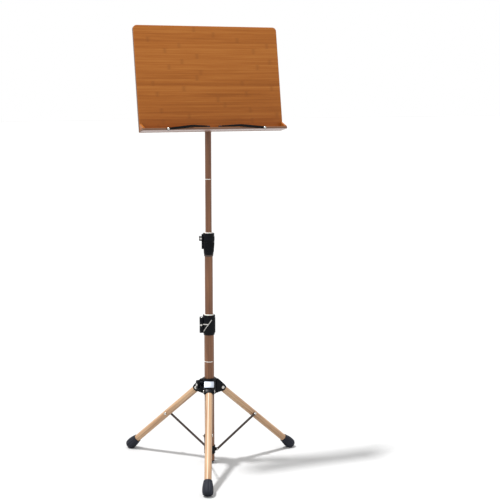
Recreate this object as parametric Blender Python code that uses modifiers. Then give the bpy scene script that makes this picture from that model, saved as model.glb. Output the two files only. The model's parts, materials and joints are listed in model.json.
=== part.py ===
"""A music stand: a bamboo desk on a telescopic column, carried by a folding tripod.

The frame has +Z up and its origin on the floor, on the column's axis. The desk faces -Y.
Each sub-part is one object; each moving group hangs from an empty on its joint's axis.
"""
import math

import bmesh
import bpy
from mathutils import Matrix

MM = 0.001
GAP = 0.3 * MM                      # running gap between neighbouring solids

# Column: three round tubes that slide into each other.
LOWER_TUBE_R = 14.0 * MM
MIDDLE_TUBE_R = 11.5 * MM
UPPER_TUBE_R = 9.0 * MM
TUBE_WALL = 1.2 * MM
LOWER_TUBE_Z = (8 * MM, 430 * MM)
MIDDLE_TUBE_Z = (265 * MM, 665 * MM)
UPPER_TUBE_Z = (560 * MM, 990 * MM)
GUIDE_HEIGHT = 7 * MM
SPIGOT = 18 * MM
END_PLUG_BOTTOM = 4 * MM

# Tripod: the hub slides on the lower tube, the collar is fixed at its bottom.
TRIPOD_TURN = math.radians(-20.5)   # front leg's turn from the desk's facing
LEG_TURNS = {"front": 0.0, "right": math.radians(120), "left": math.radians(-120)}
LEG_ANGLE = math.radians(49)        # spread leg, measured from the column
LEG_R = 10.0 * MM
LEG_WALL = 1.2 * MM
LEG_TUBE_START = 11.5 * MM
HUB_PIN_R = 37 * MM                 # leg hinge's distance from the column's axis
HUB_PIN_Z = 223 * MM
COLLAR_PIN_R = 18 * MM
COLLAR_PIN_Z = 40 * MM
BRACE_AT = 146 * MM                 # brace pivot, along the leg from its hinge
SOLE_REACH = 8.5 * MM               # how far the sole's cut face lies below the leg's axis
LEG_LENGTH = (HUB_PIN_Z - SOLE_REACH * math.sin(LEG_ANGLE)) / math.cos(LEG_ANGLE)
FOOT_LENGTH = 42 * MM
BRACE_RUN = HUB_PIN_R + BRACE_AT * math.sin(LEG_ANGLE) - COLLAR_PIN_R
BRACE_RISE = HUB_PIN_Z - BRACE_AT * math.cos(LEG_ANGLE) - COLLAR_PIN_Z
BRACE_LENGTH = math.hypot(BRACE_RUN, BRACE_RISE)
BRACE_ANGLE = math.atan2(BRACE_RUN, BRACE_RISE)
BRACE_WIDTH = 6.5 * MM
BRACE_THICK = 2.4 * MM
BRACE_SIDE = -(LEG_R + 0.6 * MM)    # brace's inner face, beside the leg
EYE_PIN_R = 1.6 * MM
FIN_HALF = 2.5 * MM
FIN_MIDDLE = BRACE_SIDE + GAP + FIN_HALF
FIN_TIP_R = 3.8 * MM
TONGUE_HALF = 10.0 * MM
ARM_HALF = 14.5 * MM
CHEEK_R = 10 * MM
HUB_TOP = 254 * MM
HUB_BOTTOM = 208 * MM
NECK_R = 20 * MM
HUB_KNOB_TURN = math.radians(-60)   # between the front and the left leg
HUB_KNOB_Z = 238 * MM
HUB_STUD_R = 3 * MM

# Clamps: a split sleeve on the outer tube's end, closed by a flip lever.
CLAMP_TURN = math.radians(161)      # direction of the lugs, from +X
LOWER_CLAMP = {"tube_r": LOWER_TUBE_R, "inner_r": MIDDLE_TUBE_R, "tube_top": 430 * MM,
               "bottom": 381 * MM, "top": 439 * MM, "sleeve_r": 17.8 * MM, "foot_r": 15.9 * MM,
               "lever_z": 411.5 * MM, "lever_height": 44 * MM}
UPPER_CLAMP = {"tube_r": MIDDLE_TUBE_R, "inner_r": UPPER_TUBE_R, "tube_top": 665 * MM,
               "bottom": 614 * MM, "top": 675 * MM, "sleeve_r": 16.4 * MM, "foot_r": 13.6 * MM,
               "lever_z": 661 * MM, "lever_height": 12 * MM, "block_z": (630 * MM, 672 * MM)}
LUG_HALF_GAP = 1.2 * MM
LUG_THICK = 5.0 * MM
LUG_REACH = 27 * MM
BLOCK_REACH = 20 * MM
LEVER_CAM_R = 5.8 * MM
BOLT_X = 21.5 * MM
BOLT_R = 2.5 * MM
CAM_Y = LUG_HALF_GAP + LUG_THICK + LEVER_CAM_R + GAP
LEVER_ARC_END = math.radians(142)
FORK_HALF = 3.4 * MM

# Head: a socket turns on the upper tube and carries the tilting desk.
TILT_Z = 1022 * MM
SOCKET_Z = (962 * MM, 1000 * MM)
SOCKET_R = 14.5 * MM
SOCKET_BORE_TOP = 993 * MM
SOCKET_KNOB_Z = 974 * MM
SOCKET_STUD_R = 2.5 * MM
TILT_TONGUE_HALF = 8 * MM
TILT_TONGUE_R = 9 * MM
EAR_THICK = 3 * MM
TILT_BOLT_R = 3 * MM

# Desk, in its own frame: origin on the tilt axis, +Z up the board, -Y out of its front.
DESK_TILT = math.radians(10.6)
DESK_WIDTH = 420 * MM
DESK_BACK_Y = -19.6 * MM
PANEL_THICK = 12 * MM
PANEL_Z = (-65 * MM, 228 * MM)
PANEL_CORNER_R = 11 * MM
LEDGE_DEPTH = 34 * MM
LEDGE_THICK = 6.5 * MM
CHEEK_THICK = 6 * MM                # end cheeks that stand on the ledge
CHEEK_RUN = 29 * MM
CHEEK_RISE = 15 * MM
CLIP_X = 140 * MM
CLIP_PIN_Z = -62 * MM
CLIP_SCREW_R = 1.8 * MM
CLIP_SCREW_DEPTH = 12 * MM
CLIP_THICK = 1.6 * MM
CLIP_WIDTH = 6.5 * MM
CLIP_ARM = 70 * MM
CLIP_FINGER = 56 * MM
CLIP_RISE = math.radians(6)
CLIP_INWARD = 24 * MM
CLIP_TIP_SEAT = 7 * MM              # how much of the finger's end the rubber tip replaces

SIDES = 32
SMALL_SIDES = 16


# Scene, materials and placing

def clear_scene():
    for obj in list(bpy.data.objects):
        bpy.data.objects.remove(obj, do_unlink=True)


def new_collection(name):
    collection = bpy.data.collections.new(name)
    bpy.context.scene.collection.children.link(collection)
    return collection


def material(name, colour, roughness, metallic=0.0):
    made = bpy.data.materials.get(name) or bpy.data.materials.new(name)
    made.use_nodes = True
    shader = made.node_tree.nodes["Principled BSDF"]
    shader.inputs["Base Color"].default_value = (*colour, 1.0)
    shader.inputs["Roughness"].default_value = roughness
    shader.inputs["Metallic"].default_value = metallic
    return made


def bamboo():
    return material("bamboo", (0.36, 0.13, 0.03), 0.4)


def wood_print():
    return material("wood_print_lacquer", (0.25, 0.12, 0.06), 0.35)


def black_plastic():
    return material("black_plastic", (0.012, 0.012, 0.014), 0.35)


def black_steel():
    return material("black_steel", (0.02, 0.02, 0.022), 0.45, 0.6)


def bright_steel():
    return material("bright_steel", (0.72, 0.72, 0.74), 0.25, 1.0)


def white_nylon():
    return material("white_nylon", (0.75, 0.74, 0.70), 0.45)


def rubber():
    return material("black_rubber", (0.016, 0.017, 0.02), 0.7)


def joint_axis(name, parent=None, location=(0, 0, 0), rotation=(0, 0, 0)):
    """An empty on a joint's axis, or at a turn about the column."""
    empty = bpy.data.objects.new(f"{name}_axis", None)
    empty.empty_display_size = 0.02
    empty.parent = parent
    empty.location = location
    empty.rotation_euler = rotation
    PARTS.objects.link(empty)
    return empty


def place(obj, parent, finish, location, rotation):
    """Links an object as a sub-part, or as a cutter where it has no finish."""
    obj.parent = parent
    obj.location = location
    obj.rotation_euler = rotation
    if finish is None:
        CUTTERS.objects.link(obj)
        obj.hide_render = True
        obj.display_type = "WIRE"
        return obj
    PARTS.objects.link(obj)
    obj.data.materials.append(finish)
    return obj


def smooth(mesh):
    mesh.shade_smooth()
    mesh.set_sharp_from_angle(angle=math.radians(35))


# Shapes

def turned(name, parent, profile, finish, location=(0, 0, 0), rotation=(0, 0, 0), hollow=False,
           steps=SIDES):
    """A shape of revolution about local Z. The profile of (radius, height) runs down its outside."""
    mesh = bpy.data.meshes.new(name)
    last = len(profile) - 1
    edges = [(i, i + 1) for i in range(last)]
    if hollow:
        edges.append((last, 0))
    mesh.from_pydata([(radius, 0, height) for radius, height in profile], edges, [])
    obj = place(bpy.data.objects.new(name, mesh), parent, finish, location, rotation)
    screw = obj.modifiers.new("turn", "SCREW")
    screw.steps = steps
    screw.render_steps = steps
    screw.use_merge_vertices = True
    screw.merge_threshold = 0.00001
    screw.use_smooth_shade = True
    return obj


def tube_profile(outer, inner, low, high):
    return [(outer, high), (outer, low), (inner, low), (inner, high)]


def rod_profile(radius, low, high):
    return [(0, high), (radius, high), (radius, low), (0, low)]


def arc(centre, radius, start, end, count):
    """Points of an arc in a plane, both ends included; angles in degrees."""
    points = []
    for i in range(count + 1):
        angle = math.radians(start + (end - start) * i / count)
        points.append((centre[0] + radius * math.cos(angle), centre[1] + radius * math.sin(angle)))
    return points


def rounded_rectangle(low, high, radii, count=5):
    """Outline from corner to corner; radii go bottom left, bottom right, top right, top left."""
    (x0, y0), (x1, y1) = low, high
    points = arc((x0 + radii[0], y0 + radii[0]), radii[0], 180, 270, count)
    points += arc((x1 - radii[1], y0 + radii[1]), radii[1], 270, 360, count)
    points += arc((x1 - radii[2], y1 - radii[2]), radii[2], 0, 90, count)
    points += arc((x0 + radii[3], y1 - radii[3]), radii[3], 90, 180, count)
    return points


def flat_curve(name, outlines, thickness):
    """A 2D curve filled between its outlines and extruded to a thickness about its plane."""
    curve = bpy.data.curves.new(name, "CURVE")
    curve.dimensions = "2D"
    curve.fill_mode = "BOTH"
    curve.extrude = thickness / 2
    for outline in outlines:
        spline = curve.splines.new("POLY")
        spline.points.add(len(outline) - 1)
        spline.use_cyclic_u = True
        for point, (x, y) in zip(spline.points, outline):
            point.co = (x, y, 0, 1)
    return bpy.data.objects.new(name, curve)


def plate(name, parent, outlines, thickness, finish, location=(0, 0, 0), rotation=(0, 0, 0)):
    """A flat piece as a mesh: the first outline is its edge and the others are its holes."""
    curve = flat_curve(f"{name}_outline", outlines, thickness)
    bpy.context.scene.collection.objects.link(curve)
    evaluated = curve.evaluated_get(bpy.context.evaluated_depsgraph_get())
    mesh = bpy.data.meshes.new_from_object(evaluated)
    bpy.data.objects.remove(curve, do_unlink=True)
    shape = bmesh.new()
    shape.from_mesh(mesh)
    bmesh.ops.remove_doubles(shape, verts=shape.verts, dist=0.000001)
    shape.to_mesh(mesh)
    shape.free()
    mesh.name = name
    return place(bpy.data.objects.new(name, mesh), parent, finish, location, rotation)


def box(name, parent, low, high, finish, location=(0, 0, 0), rotation=(0, 0, 0)):
    """A box between two corners of its own frame."""
    shape = bmesh.new()
    bmesh.ops.create_cube(shape, size=1.0)
    size = [b - a for a, b in zip(low, high)]
    middle = [(a + b) / 2 for a, b in zip(low, high)]
    matrix = Matrix.Translation(middle) @ Matrix.Diagonal((*size, 1))
    bmesh.ops.transform(shape, matrix=matrix, verts=shape.verts)
    mesh = bpy.data.meshes.new(name)
    shape.to_mesh(mesh)
    shape.free()
    return place(bpy.data.objects.new(name, mesh), parent, finish, location, rotation)


def bevelled(obj, width, segments=2):
    bevel = obj.modifiers.new("rounding", "BEVEL")
    bevel.width = width
    bevel.segments = segments
    bevel.limit_method = "ANGLE"
    bevel.angle_limit = math.radians(40)
    smooth(obj.data)
    return obj


def combine(obj, operation, *tools):
    """Joins tools to an object, or cuts them from it."""
    for tool in tools:
        boolean = obj.modifiers.new(tool.name, "BOOLEAN")
        boolean.operation = operation
        boolean.object = tool
        boolean.solver = "EXACT"
    return obj


def cut_rod(name, parent, radius, length, location=(0, 0, 0), rotation=(0, 0, 0), steps=SMALL_SIDES):
    """A round cutter or a round boss, centred on its place and lying along local Z."""
    profile = rod_profile(radius, -length / 2, length / 2)
    return turned(name, parent, profile, None, location, rotation, steps=steps)


ALONG_X = (0, math.pi / 2, 0)
ALONG_Y = (-math.pi / 2, 0, 0)
SIDE_VIEW = (math.pi / 2, 0, 0)     # a plate's outline stands in XZ, its thickness lies along Y
CROSSWISE = (math.pi / 2, 0, math.pi / 2)   # the outline stands in YZ, the thickness lies along X


# Column

def column_tubes(root, middle, upper):
    tubes = (("lower_tube", root, LOWER_TUBE_R, LOWER_TUBE_Z),
             ("middle_tube", middle, MIDDLE_TUBE_R, MIDDLE_TUBE_Z),
             ("upper_tube", upper, UPPER_TUBE_R, UPPER_TUBE_Z))
    for name, parent, radius, (low, high) in tubes:
        profile = tube_profile(radius, radius - TUBE_WALL, low, high)
        turned(name, parent, profile, wood_print(), hollow=True)


def end_plug(root):
    spigot_r = LOWER_TUBE_R - TUBE_WALL - GAP
    shoulder = LOWER_TUBE_Z[0] - GAP
    profile = [(0, shoulder + SPIGOT), (spigot_r, shoulder + SPIGOT), (spigot_r, shoulder),
               (LOWER_TUBE_R, shoulder), (LOWER_TUBE_R, END_PLUG_BOTTOM + 1 * MM),
               (LOWER_TUBE_R - 1 * MM, END_PLUG_BOTTOM), (0, END_PLUG_BOTTOM)]
    turned("tube_end_plug", root, profile, rubber())


def slide_guide(name, parent, tube_r, tube_bottom, bore_r):
    """A guide pressed into a tube's lower end, running in the next tube's bore."""
    inner = tube_r - TUBE_WALL - 2 * MM
    spigot_r = tube_r - TUBE_WALL - GAP
    shoulder = tube_bottom - GAP
    profile = [(spigot_r, shoulder + SPIGOT), (spigot_r, shoulder), (bore_r - GAP, shoulder),
               (bore_r - GAP, shoulder - GUIDE_HEIGHT), (inner, shoulder - GUIDE_HEIGHT),
               (inner, shoulder + SPIGOT)]
    turned(name, parent, profile, white_nylon(), hollow=True)


# Clamps

def clamp_sleeve(name, axis, clamp):
    bore = clamp["tube_r"] + GAP
    top, bottom = clamp["top"], clamp["bottom"]
    profile = [(clamp["sleeve_r"] - 1 * MM, top), (clamp["sleeve_r"], top - 1 * MM),
               (clamp["sleeve_r"], top - 24 * MM), (clamp["foot_r"] + 0.6 * MM, bottom + 6 * MM),
               (clamp["foot_r"], bottom), (bore, bottom), (bore, top)]
    sleeve = turned(name, axis, profile, black_plastic(), hollow=True)
    lug_half = LUG_HALF_GAP + LUG_THICK
    height = clamp["lever_height"] / 2 - 1 * MM
    low = (bore + 1 * MM, -lug_half, clamp["lever_z"] - height)
    high = (LUG_REACH, lug_half, clamp["lever_z"] + height)
    lugs = box(f"{name}_lugs", axis, low, high, None)
    slit_low = (bore - 3 * MM, -LUG_HALF_GAP, bottom + 8 * MM)
    slit_high = (LUG_REACH + 5 * MM, LUG_HALF_GAP, top + 5 * MM)
    slit = box(f"{name}_slit", axis, slit_low, slit_high, None)
    place_of_bolt = (BOLT_X, 0, clamp["lever_z"])
    hole = cut_rod(f"{name}_bolt_hole", axis, BOLT_R + GAP, 30 * MM, place_of_bolt, ALONG_Y)
    combine(sleeve, "UNION", lugs)
    if "block_z" in clamp:
        block_low, block_high = clamp["block_z"]
        half = lug_half - 0.4 * MM
        low, high = (bore + 1.4 * MM, -half, block_low), (BLOCK_REACH, half, block_high)
        block = box(f"{name}_block", axis, low, high, None)
        combine(sleeve, "UNION", block)
    combine(sleeve, "DIFFERENCE", slit, hole)


def clamp_bush(name, axis, clamp):
    inner = clamp["inner_r"] + GAP
    skirt = clamp["tube_r"] - TUBE_WALL - GAP
    shoulder = clamp["tube_top"] + GAP
    flange_top = clamp["top"] + 2.5 * MM
    profile = [(clamp["tube_r"] - 0.6 * MM, flange_top), (clamp["tube_r"], flange_top - 0.6 * MM),
               (clamp["tube_r"], shoulder), (skirt, shoulder), (skirt, shoulder - 28 * MM),
               (inner, shoulder - 28 * MM), (inner, flange_top)]
    turned(name, axis, profile, white_nylon(), hollow=True)


def clamp_bolt(name, axis, clamp):
    """A T-bolt: its shank crosses the lugs, and its upright barrel carries the lever."""
    head_y = -(LUG_HALF_GAP + LUG_THICK + GAP)
    profile = [(0, CAM_Y), (BOLT_R, CAM_Y), (BOLT_R, head_y), (5 * MM, head_y),
               (5 * MM, head_y - 3 * MM), (4.4 * MM, head_y - 3.6 * MM), (0, head_y - 3.6 * MM)]
    where = (BOLT_X, 0, clamp["lever_z"])
    bolt = turned(name, axis, profile, bright_steel(), where, ALONG_Y, steps=SMALL_SIDES)
    barrel_at = (BOLT_X, CAM_Y, clamp["lever_z"])
    barrel = cut_rod(f"{name}_barrel", axis, 1.9 * MM, clamp["lever_height"] + 1.6 * MM, barrel_at)
    eye = cut_rod(f"{name}_eye", axis, 3.6 * MM, 2 * FORK_HALF - 1 * MM, barrel_at)
    combine(bolt, "UNION", barrel, eye)


def clamp_lever(name, axis, hinge, clamp):
    """A forked cam with an arm that wraps round the sleeve's front; origin on its hinge."""
    start = math.degrees(math.atan2(CAM_Y, BOLT_X))
    end = math.degrees(LEVER_ARC_END)
    inner_r = clamp["sleeve_r"] + 1.6 * MM
    outer_r = inner_r + 3.2 * MM
    tip_r = (outer_r - inner_r) / 2
    tip_angle = LEVER_ARC_END
    tip = ((inner_r + tip_r) * math.cos(tip_angle), (inner_r + tip_r) * math.sin(tip_angle))
    outline = arc((0, 0), outer_r, start, end, 14)
    outline += arc(tip, tip_r, end, end + 180, 4)[1:-1]
    outline += arc((0, 0), inner_r, end, start, 14)
    outline = [(x - BOLT_X, y - CAM_Y) for x, y in outline]
    height = clamp["lever_height"]
    lever = plate(name, hinge, [outline], height, black_plastic())
    cam = cut_rod(f"{name}_cam", hinge, LEVER_CAM_R, height, steps=20)
    fork = cut_rod(f"{name}_fork", hinge, LEVER_CAM_R + 2.4 * MM, 2 * FORK_HALF)
    bore = cut_rod(f"{name}_bore", hinge, 1.9 * MM + GAP, height + 10 * MM)
    combine(lever, "UNION", cam)
    combine(lever, "DIFFERENCE", fork, bore)
    smooth(lever.data)


def clamp_parts(prefix, body, clamp):
    axis = joint_axis(f"{prefix}_clamp", body, rotation=(0, 0, CLAMP_TURN))
    clamp_sleeve(f"{prefix}_clamp_sleeve", axis, clamp)
    clamp_bush(f"{prefix}_bush", axis, clamp)
    clamp_bolt(f"{prefix}_clamp_bolt", axis, clamp)
    hinge = joint_axis(f"{prefix}_lever", axis, location=(BOLT_X, CAM_Y, clamp["lever_z"]))
    clamp_lever(f"{prefix}_clamp_lever", axis, hinge, clamp)


def clamp_ring(body, clamp):
    inner = clamp["tube_r"] + GAP
    outer = clamp["foot_r"] - 0.4 * MM
    top = clamp["bottom"] - GAP
    profile = [(outer, top), (outer, top - 4 * MM), (outer - 0.8 * MM, top - 4.8 * MM),
               (inner, top - 4.8 * MM), (inner, top)]
    turned("upper_clamp_ring", body, profile, bright_steel(), hollow=True)


# Tripod

def heading(side):
    """Turn about +Z from +X to a leg's direction."""
    return TRIPOD_TURN + LEG_TURNS[side] - math.pi / 2


def arm_outline():
    """Side view of a hub arm: radius from the column against height."""
    pin = (HUB_PIN_R, HUB_PIN_Z)
    points = [(LOWER_TUBE_R + 2 * MM, HUB_BOTTOM + 1.2 * MM)]
    points += arc(pin, CHEEK_R, -100, 50, 8)
    points += [(NECK_R + 2 * MM, HUB_TOP - 3 * MM), (LOWER_TUBE_R + 2 * MM, HUB_TOP - 3 * MM)]
    return points


def hub_solid(slide):
    bore = LOWER_TUBE_R + GAP
    profile = [(0, HUB_TOP), (NECK_R - 2 * MM, HUB_TOP), (NECK_R, HUB_TOP - 2 * MM),
               (NECK_R + 1 * MM, HUB_BOTTOM + 2 * MM), (NECK_R - 1 * MM, HUB_BOTTOM), (0, HUB_BOTTOM)]
    hub = turned("hub", slide, profile, black_plastic())
    arms, cuts = [], []
    for side in LEG_TURNS:
        spoke = joint_axis(f"hub_arm_{side}", slide, rotation=(0, 0, heading(side)))
        outline = arm_outline()
        arms.append(plate(f"arm_{side}_block", spoke, [outline], 2 * ARM_HALF, None, rotation=SIDE_VIEW))
        slot_low = (HUB_PIN_R - CHEEK_R - 1 * MM, -TONGUE_HALF - GAP, HUB_BOTTOM - 10 * MM)
        slot_high = (HUB_PIN_R + 30 * MM, TONGUE_HALF + GAP, HUB_PIN_Z + 9.5 * MM)
        cuts.append(box(f"arm_{side}_slot", spoke, slot_low, slot_high, None))
        pin_at = (HUB_PIN_R, 0, HUB_PIN_Z)
        cuts.append(cut_rod(f"arm_{side}_pin_hole", spoke, 2.5 * MM + GAP, 60 * MM, pin_at, ALONG_Y))
    knob_spoke = joint_axis("hub_knob", slide, rotation=(0, 0, heading("front") + HUB_KNOB_TURN))
    boss_at = (23 * MM, 0, HUB_KNOB_Z)
    boss = cut_rod("hub_boss", knob_spoke, 8 * MM, 14 * MM, boss_at, ALONG_X, steps=20)
    bore_cut = cut_rod("hub_bore", slide, bore, 200 * MM, (0, 0, HUB_TOP - 20 * MM), steps=SIDES)
    hole_at = (30 * MM, 0, HUB_KNOB_Z)
    screw_hole = cut_rod("hub_screw_hole", knob_spoke, HUB_STUD_R + GAP, 60 * MM, hole_at, ALONG_X)
    combine(hub, "UNION", *arms, boss)
    combine(hub, "DIFFERENCE", bore_cut, screw_hole, *cuts)
    return knob_spoke


def hub_knob(spoke):
    """A wing screw: its stud reaches the tube, its wings stand clear of the arms."""
    stud_start = LOWER_TUBE_R + GAP
    wing_r = 13.5 * MM
    lobe = 5.5 * MM
    grip = arc((wing_r - lobe, 0), lobe, -80, 80, 6) + arc((0, 0), 7 * MM, 55, 125, 4)
    grip += arc((lobe - wing_r, 0), lobe, 100, 260, 6) + arc((0, 0), 7 * MM, 235, 305, 4)
    knob_at = (37.5 * MM, 0, HUB_KNOB_Z)
    knob = plate("hub_knob", spoke, [grip], 8 * MM, black_plastic(), knob_at, ALONG_X)
    stud_length = 35 * MM - stud_start
    stud_at = (stud_start + stud_length / 2, 0, HUB_KNOB_Z)
    stud = cut_rod("hub_knob_stud", spoke, HUB_STUD_R, stud_length, stud_at, ALONG_X)
    combine(knob, "UNION", stud)


def hub_plate(slide):
    """A blank plate on the front arm's sloping top."""
    spoke = joint_axis("hub_plate", slide, rotation=(0, 0, heading("front")))
    touch = arc((HUB_PIN_R, HUB_PIN_Z), CHEEK_R, 50, 50, 1)[0]
    low_end, high_end = touch, (NECK_R + 2 * MM, HUB_TOP - 3 * MM)
    slope = math.atan2(high_end[1] - low_end[1], low_end[0] - high_end[0])
    middle = ((low_end[0] + high_end[0]) / 2, (low_end[1] + high_end[1]) / 2)
    lift = 0.5 * MM + GAP
    where = (middle[0] + lift * math.sin(slope), 0, middle[1] + lift * math.cos(slope))
    half_length, half_width = 10 * MM, 14 * MM
    low, high = (-half_length, -half_width), (half_length, half_width)
    outline = rounded_rectangle(low, high, [2 * MM] * 4, 3)
    plate("hub_plate", spoke, [outline], 1 * MM, bright_steel(), where, (0, slope, 0))


def leg_parts(side, hub_slide):
    spoke = joint_axis(f"leg_{side}_spoke", hub_slide, rotation=(0, 0, heading(side)))
    pin_at = (HUB_PIN_R, 0, HUB_PIN_Z)
    head = ARM_HALF + GAP
    half = [(0, head + 2.4 * MM), (2.6 * MM, head + 2.1 * MM), (4.4 * MM, head + 1 * MM),
            (4.8 * MM, head), (2.5 * MM, head)]
    profile = half + [(radius, -y) for radius, y in reversed(half)]
    turned(f"hub_pin_{side}", spoke, profile, bright_steel(), pin_at, ALONG_Y, steps=SMALL_SIDES)
    hinge = joint_axis(f"leg_{side}_hinge", spoke, pin_at, (0, math.pi / 2 - LEG_ANGLE, 0))
    leg_tube(side, hinge)
    leg_tongue(side, hinge)
    leg_foot(side, hinge)
    brace_bolt(side, hinge)


def leg_tube(side, hinge):
    end = LEG_LENGTH - 22 * MM
    profile = tube_profile(LEG_R, LEG_R - LEG_WALL, LEG_TUBE_START, end)
    tube = turned(f"leg_{side}", hinge, profile, wood_print(), rotation=ALONG_X, hollow=True, steps=28)
    hole = cut_rod(f"leg_{side}_bolt_hole", hinge, 2 * MM + GAP, 60 * MM, (BRACE_AT, 0, 0), ALONG_Y)
    combine(tube, "DIFFERENCE", hole)


def leg_tongue(side, hinge):
    """The leg's top fitting: an eye for the hub pin, and a plug inside the tube."""
    outline = [(LEG_TUBE_START - GAP, -8.5 * MM), (LEG_TUBE_START - GAP, 8.5 * MM)]
    outline += arc((0, 0), 8.5 * MM, 90, 270, 10)
    hole = arc((0, 0), 2.5 * MM + GAP, 0, 337.5, 15)
    tongue = plate(f"leg_{side}_tongue", hinge, [outline, hole], 2 * TONGUE_HALF, black_plastic(),
                   rotation=SIDE_VIEW)
    plug_r = LEG_R - LEG_WALL - GAP
    plug_start = LEG_TUBE_START - 4 * MM
    plug_length = 30 * MM
    plug_at = (plug_start + plug_length / 2, 0, 0)
    plug = cut_rod(f"leg_{side}_plug", hinge, plug_r, plug_length, plug_at, ALONG_X, 24)
    combine(tongue, "UNION", plug)


def leg_foot(side, hinge):
    """A rubber boot over the leg's end, cut flat where it stands."""
    top = LEG_LENGTH - FOOT_LENGTH
    end = LEG_LENGTH
    bore_r = LEG_R + GAP
    bore_end = end - 21 * MM
    profile = [(0, end), (9.5 * MM, end), (13.8 * MM, end - 3.4 * MM), (15.6 * MM, end - 11 * MM),
               (15.4 * MM, top + 19 * MM), (13.9 * MM, top + 10 * MM), (12 * MM, top + 3 * MM),
               (11.2 * MM, top), (bore_r, top), (bore_r, bore_end), (0, bore_end)]
    foot = turned(f"foot_{side}", hinge, profile, rubber(), rotation=ALONG_X, steps=24)
    floor = box(f"floor_{side}", None, (-0.6, -0.6, -0.1), (0.6, 0.6, 0.0), None)
    combine(foot, "DIFFERENCE", floor)


def brace_bolt(side, hinge):
    """A bolt through the leg; it ends flush with the leg on the brace's side."""
    head_y = LEG_R + GAP
    profile = [(0, head_y + 2.2 * MM), (2.4 * MM, head_y + 1.9 * MM), (3.8 * MM, head_y + 0.8 * MM),
               (4 * MM, head_y), (2 * MM, head_y), (2 * MM, -LEG_R), (0, -LEG_R)]
    where = (BRACE_AT, 0, 0)
    turned(f"brace_bolt_{side}", hinge, profile, bright_steel(), where, ALONG_Y, steps=SMALL_SIDES)


def brace_parts(side, column):
    """A flat bar beside the leg, and the cap nut that stands in its upper eye."""
    spoke = joint_axis(f"brace_{side}_spoke", column, rotation=(0, 0, heading(side)))
    pin_at = (COLLAR_PIN_R, 0, COLLAR_PIN_Z)
    outer_y = BRACE_SIDE - BRACE_THICK
    profile = [(0, FIN_MIDDLE + FIN_HALF - GAP), (EYE_PIN_R, FIN_MIDDLE + FIN_HALF - GAP),
               (EYE_PIN_R, outer_y - GAP), (3.2 * MM, outer_y - GAP),
               (2.6 * MM, outer_y - 1.6 * MM), (0, outer_y - 1.8 * MM)]
    turned(f"collar_pin_{side}", spoke, profile, bright_steel(), pin_at, ALONG_Y, steps=SMALL_SIDES)
    hinge = joint_axis(f"brace_{side}_hinge", spoke, pin_at, (0, BRACE_ANGLE - math.pi / 2, 0))
    half = BRACE_WIDTH / 2
    outline = arc((BRACE_LENGTH, 0), half + 1 * MM, -70, 70, 8)
    outline += [(BRACE_LENGTH - 6 * MM, half), (6 * MM, half)] + arc((0, 0), half + 1 * MM, 110, 250, 8)
    outline += [(6 * MM, -half), (BRACE_LENGTH - 6 * MM, -half)]
    eyes = [arc((x, 0), EYE_PIN_R + GAP, 0, 330, 11) for x in (0, BRACE_LENGTH)]
    bar_at = (0, BRACE_SIDE - BRACE_THICK / 2, 0)
    plate(f"brace_{side}", hinge, [outline, *eyes], BRACE_THICK, black_steel(), bar_at, SIDE_VIEW)
    nut = [(0, BRACE_SIDE), (EYE_PIN_R, BRACE_SIDE), (EYE_PIN_R, outer_y - GAP),
           (3.8 * MM, outer_y - GAP), (3.6 * MM, outer_y - 2 * MM), (2.2 * MM, outer_y - 3.4 * MM),
           (0, outer_y - 3.8 * MM)]
    nut_at = (BRACE_LENGTH, 0, 0)
    turned(f"brace_nut_{side}", hinge, nut, bright_steel(), nut_at, ALONG_Y, steps=SMALL_SIDES)


def lower_collar(column):
    """A ring fixed near the tube's end, with a fin beside each brace."""
    inner, outer = LOWER_TUBE_R + GAP, LOWER_TUBE_R + 2.4 * MM
    low, high = COLLAR_PIN_Z - 12 * MM, COLLAR_PIN_Z + 12 * MM
    profile = [(outer - 0.8 * MM, high), (outer, high - 0.8 * MM), (outer, low + 0.8 * MM),
               (outer - 0.8 * MM, low), (0, low)]
    collar = turned("lower_collar", column, [(0, high)] + profile, black_plastic())
    fins, holes = [], []
    root_r, root_half = 8 * MM, 7 * MM
    for side in LEG_TURNS:
        spoke = joint_axis(f"collar_fin_{side}", column, rotation=(0, 0, heading(side)))
        outline = [(root_r, COLLAR_PIN_Z - root_half)]
        outline += arc((COLLAR_PIN_R, COLLAR_PIN_Z), FIN_TIP_R, -90, 90, 8)
        outline += [(root_r, COLLAR_PIN_Z + root_half)]
        fin_at = (0, FIN_MIDDLE, 0)
        fins.append(plate(f"fin_{side}", spoke, [outline], 2 * FIN_HALF, None, fin_at, SIDE_VIEW))
        hole_at = (COLLAR_PIN_R, FIN_MIDDLE - 1.8 * MM, COLLAR_PIN_Z)
        holes.append(cut_rod(f"fin_{side}_hole", spoke, EYE_PIN_R + GAP, 10 * MM, hole_at, ALONG_Y))
    bore = cut_rod("collar_bore", column, inner, 100 * MM, (0, 0, COLLAR_PIN_Z), steps=SIDES)
    combine(collar, "UNION", *fins)
    combine(collar, "DIFFERENCE", bore, *holes)


# Head

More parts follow.
